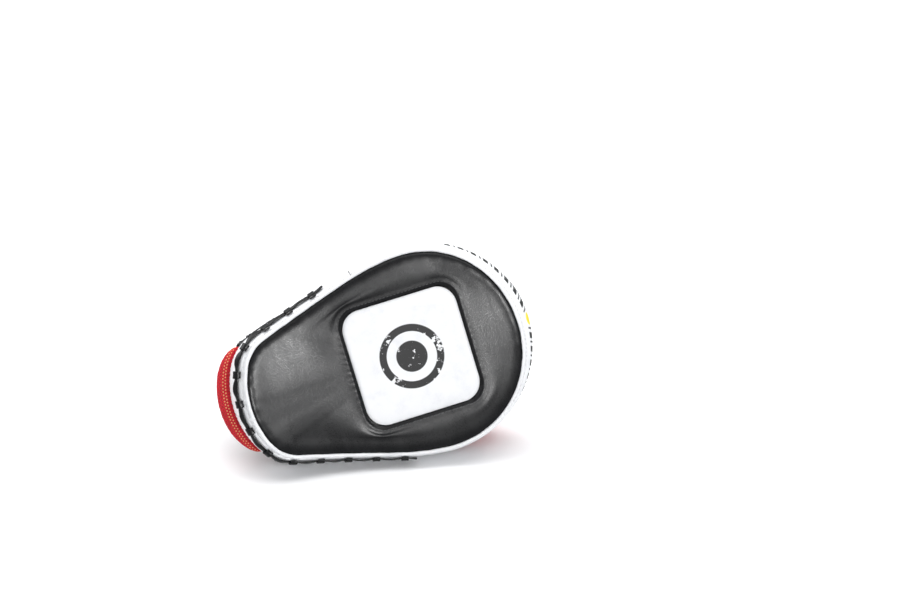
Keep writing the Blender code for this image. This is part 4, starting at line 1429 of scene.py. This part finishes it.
def makeBackLining():
    s = np.linspace(0, 2 * halfLength, 240, endpoint=False)
    rings = [onOutline(s, inset, 0.0004 - 0.0003 * math.sin(k)) for k, inset in enumerate(lining["insets"])]
    centre = np.array(lining["middle"])
    base = rings[-1]
    for scale in np.linspace(0.95, 0.03, 26):
        xy = centre + (base[:, :2] - centre) * scale
        quilt = quilting(xy[:, 0] * 120, xy[:, 1] * 120)
        rings.append(np.column_stack([xy, 0.0004 - 0.0006 * quilt**0.5]))
    last = rings[-1]
    close = np.array([np.column_stack([centre + (last[:, :2] - centre) * 0.05, last[:, 2]])])
    obj = addGrid("backLining", np.concatenate([np.array(rings), close]), uv="flat", closeColumns=True)
    faceTowards(obj, -standing[:3, 2])
    addWall(obj, lining["thickness"])
    finish(obj, "mitt", liningCloth, "lining", "back_panel")


def pocketRows():
    # beside both mesh seams, and round the binding
    _, x, _ = pocketStations()
    x = x[4:-4]
    rows = []
    for side in (1, -1):
        t = seamT(x) - 0.022
        rows.append((domePoint(x, side * t, -0.0002), domePoint(x, side * t, 0.002), False))
    t = np.linspace(-0.92, 0.92, 200)
    x = dome["mouthX"] + 0.0038
    return rows + [(domePoint(x, t, 0.0016), domePoint(x, t, 0.004), False)]


makePocketCentre()
makePocketSide("pocketMeshUpper", 1, "pocket_mesh_upper")
makePocketSide("pocketMeshLower", -1, "pocket_mesh_lower")
makePocketWelts()
makePocketPadding()
makeMouthBinding()
makeBackLining()
stitchAlong("pocketStitching", pocketRows(), blackThread, 23)
print("hand pocket made")


# wrist cushion and palm grip
cushion = {
    # inset and height
    "section": [(0.0040, -0.0006), (-0.0024, -0.0026), (-0.0066, -0.0078), (-0.0068, -0.0132)]
    + [(-0.0030, -0.0180), (0.0045, -0.0200), (0.0115, -0.0182)]
    + [(0.0155, -0.0132), (0.0160, -0.0070), (0.0145, -0.0010)],
    "anchor": (0.0060, -0.0006),
    "reach": 0.060,
    "shift": 0.006,
    "taper": 0.20,
    "voxel": 0.0026,
    "pressure": 3.0,
    "frames": 12,
    "cap": 0.0025,
    "start": 0.94,
    "rollRadius": 0.0105,
}


def cushionSection(steps):
    section = np.array(cushion["section"])
    closed = np.concatenate([section, section[:1]])
    place = np.concatenate([[0], np.cumsum(np.linalg.norm(np.diff(closed, axis=0), axis=1))])
    fit = np.linspace(0, place[-1], steps, endpoint=False)
    values = np.stack([np.interp(fit, place, closed[:, axis]) for axis in (0, 1)], -1)
    for _ in range(2):
        values = (np.roll(values, 1, 0) + 2 * values + np.roll(values, -1, 0)) / 4
    return values


def inflate(obj, values):
    # swells a closed piece like stuffed cloth: remesh, a short cloth run under pressure, and one subdivision
    remesh = obj.modifiers.new("remesh", "REMESH")
    remesh.mode = "VOXEL"
    remesh.voxel_size = values["voxel"]
    settle(obj)
    rest = np.array([v.co for v in obj.data.vertices])
    cloth = obj.modifiers.new("cloth", "CLOTH")
    cloth.settings.quality = 6
    cloth.settings.mass = 0.25
    cloth.settings.use_pressure = True
    cloth.settings.uniform_pressure_force = values["pressure"]
    cloth.settings.tension_stiffness = 25
    cloth.settings.compression_stiffness = 25
    cloth.settings.bending_stiffness = 0.8
    cloth.settings.effector_weights.gravity = 0
    cloth.collision_settings.use_collision = False
    cloth.point_cache.frame_start, cloth.point_cache.frame_end = 1, values["frames"]
    scene = bpy.context.scene
    for number in range(1, values["frames"] + 1):
        scene.frame_set(number)
    settle(obj)
    scene.frame_set(1)
    moved = np.array([v.co for v in obj.data.vertices]) - rest
    length = np.linalg.norm(moved, axis=1, keepdims=True)
    moved *= np.minimum(1, values["cap"] / np.maximum(length, 1e-9))
    obj.data.vertices.foreach_set("co", (rest + moved).astype(np.float32).ravel())
    obj.data.update()
    print(obj.name, "swelled by up to", round(float(length.max()) * 1000, 2), "mm")
    smooth = obj.modifiers.new("smooth", "SUBSURF")
    smooth.levels = smooth.render_levels = 1
    settle(obj)
    obj.data.shade_smooth()
    return obj


def makeWristCushion():
    v = cushion
    s = np.linspace(-v["reach"], v["reach"], 90)
    share = s / v["reach"]
    size = v["taper"] + (1 - v["taper"]) * np.sqrt(np.clip(1 - np.abs(share) ** 2.6, 0, 1))
    section = cushionSection(40)
    anchor = np.array(v["anchor"])
    drawn = anchor + (section - anchor)[None] * (size * v["start"])[:, None, None]
    flat = onOutline((halfLength - v["shift"] + s)[:, None], drawn[..., 0], drawn[..., 1])
    obj = addGrid("wristCushion", flat, closeColumns=True, capEnds=True)
    inflate(obj, v)
    # length round the wrist and round the roll, for the mesh pattern
    flat = layFlat(np.array([p.co for p in obj.data.vertices]))
    reach = np.linspace(halfLength - 0.1, halfLength + 0.1, 2001)
    track = onOutline(reach, 0.004, 0.0)
    along = reach[[np.argmin((track[:, 0] - p[0]) ** 2 + (track[:, 1] - p[1]) ** 2) for p in flat]]
    point, out = station(along)
    inset = -((flat[:, 0] - point[:, 0]) * out[:, 0] + (flat[:, 1] - point[:, 1]) * out[:, 1])
    angle = np.arctan2(inset - 0.0048, -(flat[:, 2] + 0.0100))
    radius = v["rollRadius"]
    roll = np.mod(-angle + math.pi * 0.6, 2 * math.pi) * radius
    uv = np.stack([along, roll], -1)
    layer = obj.data.uv_layers.new(name="flat") if not obj.data.uv_layers else obj.data.uv_layers[0]
    for face in obj.data.polygons:
        loops = uv[list(face.vertices)].copy()
        if np.ptp(loops[:, 1]) > 0.03:
            loops[loops[:, 1] < 0.03, 1] += 2 * math.pi * radius
        for k, value in zip(face.loop_indices, loops):
            layer.data[k].uv = value
    finish(obj, "mitt", cushionMesh, "red_mesh", "wrist_cushion_cover", "wrist_cushion_foam")


palm = {"radius": 0.0268, "height": 0.0185, "base": -0.0006, "x": 0.150, "sides": 72, "pucker": 0.0007}


def makePalmGrip():
    v = palm
    turn = np.linspace(0, 2 * math.pi, v["sides"] + 1)[:-1]
    sewn = ripple(turn * 0.027, 0.012, 71, 2 * math.pi * 0.027)

    def ring(r, z):
        return np.stack([v["x"] + r * np.cos(turn), r * np.sin(turn), np.full(v["sides"], z)], -1)

    rings = [ring(0.02 * v["radius"], v["base"])]
    for angle in np.linspace(0, math.pi / 2 - 0.03, 24):
        pucker = v["pucker"] * sewn * math.exp(-((angle - 0.2) / 0.25) ** 2)
        level = v["base"] - v["height"] * math.sin(angle)
        rings.append(ring(v["radius"] * math.cos(angle) ** 0.9 - pucker, level))
    obj = addGrid("palmGrip", np.array(rings), uv="flat", closeColumns=True, capEnds=True)
    finish(obj, "mitt", blackLeather, "black_leather", "palm_grip_cover", "palm_grip_foam")


makeWristCushion()
makePalmGrip()
print("wrist cushion and palm grip made")


# strap
strap = {
    "fromX": 0.0375,
    "toX": 0.0675,
    "thickness": 0.0028,
    "arch": 0.0095,
    "rootGrow": 0.0004,
    "landingGrow": 0.0034,
    "half": 0.0150,
    "stitchHalf": 0.0122,
    "rootT": 0.70,
    "landingT": -0.09,
    "seamAt": (0.94, 0.5225, 0.135, -0.392),
    "turnAt": ((0.76, 0.62), (0.42, 0.285), (0.0, -0.16)),
}
strapMiddle = (strap["fromX"] + strap["toX"]) / 2


def strapGrow(t):
    v = strap
    share = np.clip((v["rootT"] - t) / (v["rootT"] - v["landingT"]), 0, 1)
    rise = v["arch"] * np.sin(math.pi * share) ** 1.5
    return v["rootGrow"] + (v["landingGrow"] - v["rootGrow"]) * share + rise


def strapPoint(x, t, lift=0.0):
    return domePoint(x, t, strapGrow(t) + lift)


def stripPoints(t, half, thickness, grow, tail=0.0):
    # a flat strip with round edges over the pocket; tail is the length that rounds off its end
    turn = np.arange(28) * 2 * math.pi / 28
    wide = np.sign(np.cos(turn)) * np.abs(np.cos(turn)) ** 0.35
    thick = np.sign(np.sin(turn)) * np.abs(np.sin(turn)) ** 0.6
    width = np.full(len(t), half)
    if tail:
        short = 1 - np.clip(np.abs(t - t[-1]) / tail, 0, 1)
        width = width - half * 0.55 * (1 - np.sqrt(np.clip(1 - short**2, 0, 1)))
    x = strapMiddle + wide[None] * width[:, None]
    pillow = 0.0003 * (1 - wide[None] ** 2)
    lift = grow[:, None] + thickness / 2 + thick[None] * (thickness / 2 + pillow)
    return domePoint(x, t[:, None], lift)


def makeStrap():
    pairs = (("mitt", "strap_lower"), ("strap_lower", "strap_upper"), ("strap_upper", "strap_tip"))
    names = ("strapLowerLeather", "strapUpperLeather", "strapTipLeather")
    nodes = (("strap_root", "strap_lower"), ("strap_upper",), ("strap_tip",))
    v, middle, thick = strap, strapMiddle, strap["thickness"]
    run = 0.0
    for k, (pair, name) in enumerate(zip(pairs, names)):
        t = np.linspace(*v["seamAt"][k : k + 2], 70)
        flat = stripPoints(t, v["half"], thick, strapGrow(t), 0.10 if k == 2 else 0.0)
        uv = gridUv(flat, False, True)
        uv[..., 1] += run
        run = float(uv[-1, 0, 1])
        uv[..., 0] = np.concatenate([flat[..., 0], flat[:, :1, 0]], 1) - v["fromX"]
        obj = addGrid(name, flat, uv=uv, closeColumns=True, capEnds=True)
        finish(obj, None, strapLeather, "black_leather", *nodes[k])
        rows = []
        for side in (-1, 1):
            edge = t[(t < 0.93) & (t > -0.372)]
            x = middle + side * v["stitchHalf"] + 0 * edge
            rows.append((strapPoint(x, edge, thick + 0.0001), strapPoint(x, edge, thick + 0.003), False))
        if k == 2:
            x = np.linspace(middle - v["stitchHalf"], middle + v["stitchHalf"], 20)
            for at in (-0.372 + 0 * x, -0.12 + 0 * x):
                rows.append((strapPoint(x, at, thick + 0.0002), strapPoint(x, at, thick + 0.003), False))
        sewn = stitchAlong(name.replace("Leather", "Stitching"), rows, blackThread, 80 + k, body=None)
        first, last = (stand(strapPoint(middle, np.array([at]), thick))[0] for at in v["turnAt"][k])
        for piece in (obj, sewn):
            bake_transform(piece)
    print("strap length", round(run * 1000), "mm")


# body, material, slot, node; then start, end and steps; half width, thickness, height and rounded end
strapPads = {
    "hookPad": {
        "given": ("strap_tip", hookTape, "hook_tape", "hook_pad"),
        "span": (-0.14, -0.365, 40),
        "size": (0.0118, 0.0010, 0.00215, 0.0),
    },
    "loopPad": {
        "given": ("mitt", hookTape, "hook_tape", "loop_pad"),
        "span": (-0.10, -0.47, 60),
        "size": (0.0130, 0.0010, 0.0004, 0.0),
    },
    "pullTab": {
        "given": ("strap_tip", tabRubber, "tab_rubber", "strap_pull_tab"),
        "span": (-0.386, -0.438, 24),
        "size": (0.0078, 0.0018, 0.0042, 0.03),
    },
}


def makeStrapPads():
    for name, pad in strapPads.items():
        t = np.linspace(*pad["span"])
        half, thickness, grow, tail = pad["size"]
        flat = stripPoints(t, half, thickness, np.full(len(t), grow), tail)
        obj = addGrid(name, flat, closeColumns=True, capEnds=True)
        finish(obj, *pad["given"])


rivet = {
    # radius and height
    "profile": [(0.0038, -0.0004), (0.0040, 0.0002), (0.0038, 0.0007), (0.0031, 0.0012), (0.0020, 0.0015)]
    + [(0.0008, 0.0016)],
    "sides": 28,
    "rootT": 0.825,
}


def makeRivets():
    # domed caps on the strap's root
    profile, count = rivet["profile"], rivet["sides"]
    turn = np.arange(count) * 2 * math.pi / count
    rings = [[(r * math.cos(a), r * math.sin(a), z) for a in turn] for r, z in profile]
    points = [p for ring in rings for p in ring] + [(0, 0, 0.00162), (0, 0, -0.0004)]
    faces = []
    for r in range(len(profile) - 1):
        for c in range(count):
            n = (c + 1) % count
            faces.append((r * count + c, r * count + n, (r + 1) * count + n, (r + 1) * count + c))
    top, low = len(points) - 2, len(points) - 1
    last = (len(profile) - 1) * count
    faces += [(last + c, last + (c + 1) % count, top) for c in range(count)]
    faces += [((c + 1) % count, c, low) for c in range(count)]
    cap = addObject("rivetCap", np.array(points), faces)
    step = (strap["toX"] - strap["fromX"]) / 6
    x = np.array([strap["fromX"] + step, strap["toX"] - step])
    t = np.full(2, rivet["rootT"])
    here = stand(strapPoint(x, t, strap["thickness"] + 0.0003))
    outward = stand(strapPoint(x, t, 0.010)) - here
    ahead = stand(strapPoint(x + 0.001, t, strap["thickness"])) - here
    obj = addPoints("strapRivets", here.tolist(), [], ahead=ahead, outward=outward)
    runTree(obj, copyTree, {"Copy": cap, "Size": 1.0, "Finish": nickel})
    bpy.data.objects.remove(cap)
    finish(obj, "mitt", None, "nickel", "strap_rivet_finger", "strap_rivet_wrist")


makeStrap()
makeStrapPads()
makeRivets()
print("strap made")


# studio
camera = {
    "lens": 80.0,
    "azimuth": math.radians(-6.27),
    "elevation": math.radians(24.73),
    "distance": 1.917,
    "aim": (0.0739, 0.0, 0.147),
}
studio = {
    "worldColour": (0.97, 0.985, 1.0),
    "worldStrength": 0.55,
    "floorSize": 14.0,
    # place, aim, width, height, power, and whether it only makes sheen
    "lights": {
        "overhead": ((0.1, 0.45, 1.9), (0.05, 0.25, 0.0), 2.6, 1.8, 54.0),
        "behindLeft": ((-2.2, 1.6, 1.6), (0.0, 0.0, 0.1), 1.6, 1.4, 26.0),
        "frontRight": ((1.20, -2.05, 1.02), (-0.08, 0.0, 0.12), 0.9, 0.42, 14.0),
        "wristSheen": ((0.66, -1.90, 1.04), (-0.07, -0.04, 0.12), 0.50, 0.14, 38.0, True),
        "fingerSheen": ((-0.50, -2.08, 0.50), (0.09, 0.0, 0.16), 0.16, 0.14, 31.0, True),
    },
}


def makeFloorPlane():
    half, steps = studio["floorSize"] / 2, 8
    line = np.linspace(-half, half, steps + 1)
    points = [(x, y, 0.0) for y in line for x in line]
    floor = addObject("studioFloor", np.array(points), gridFaces(steps + 1, steps + 1))
    floor.data.materials.append(makeFloor())
    floor.visible_glossy = False  # the black leather stays deep instead of mirroring the floor


def addLight(name, place, aim, width, height, power, sheenOnly=False):
    data = bpy.data.lights.new(name, "AREA")
    data.shape, data.size, data.size_y, data.energy = "RECTANGLE", width, height, power
    light = bpy.data.objects.new(name, data)
    light.location = place
    light.rotation_euler = (Vector(aim) - Vector(place)).to_track_quat("-Z", "Y").to_euler()
    # a sheen light shows in the leather's gloss and leaves the colours alone
    light.visible_diffuse = not sheenOnly
    bpy.context.scene.collection.objects.link(light)


def addCamera():
    v = camera
    data = bpy.data.cameras.new("camera")
    data.lens, data.sensor_width = v["lens"], 36.0
    data.clip_start, data.clip_end = 0.05, 50.0
    eye = bpy.data.objects.new("camera", data)
    flat = math.cos(v["elevation"])
    away = Vector((math.sin(v["azimuth"]) * flat, -math.cos(v["azimuth"]) * flat, math.sin(v["elevation"])))
    eye.location = Vector(v["aim"]) + away * v["distance"]
    eye.rotation_euler = (-away).to_track_quat("-Z", "Y").to_euler()
    bpy.context.scene.collection.objects.link(eye)
    bpy.context.scene.camera = eye


makeFloorPlane()
for lightName, values in studio["lights"].items():
    addLight(lightName, *values)
addCamera()
world = bpy.data.worlds.new("studio")
world.use_nodes = True
world.node_tree.nodes["Background"].inputs["Color"].default_value = (*studio["worldColour"], 1.0)
world.node_tree.nodes["Background"].inputs["Strength"].default_value = studio["worldStrength"]
bpy.context.scene.world = world
bpy.context.scene.view_settings.view_transform = "Standard"
print("studio made")
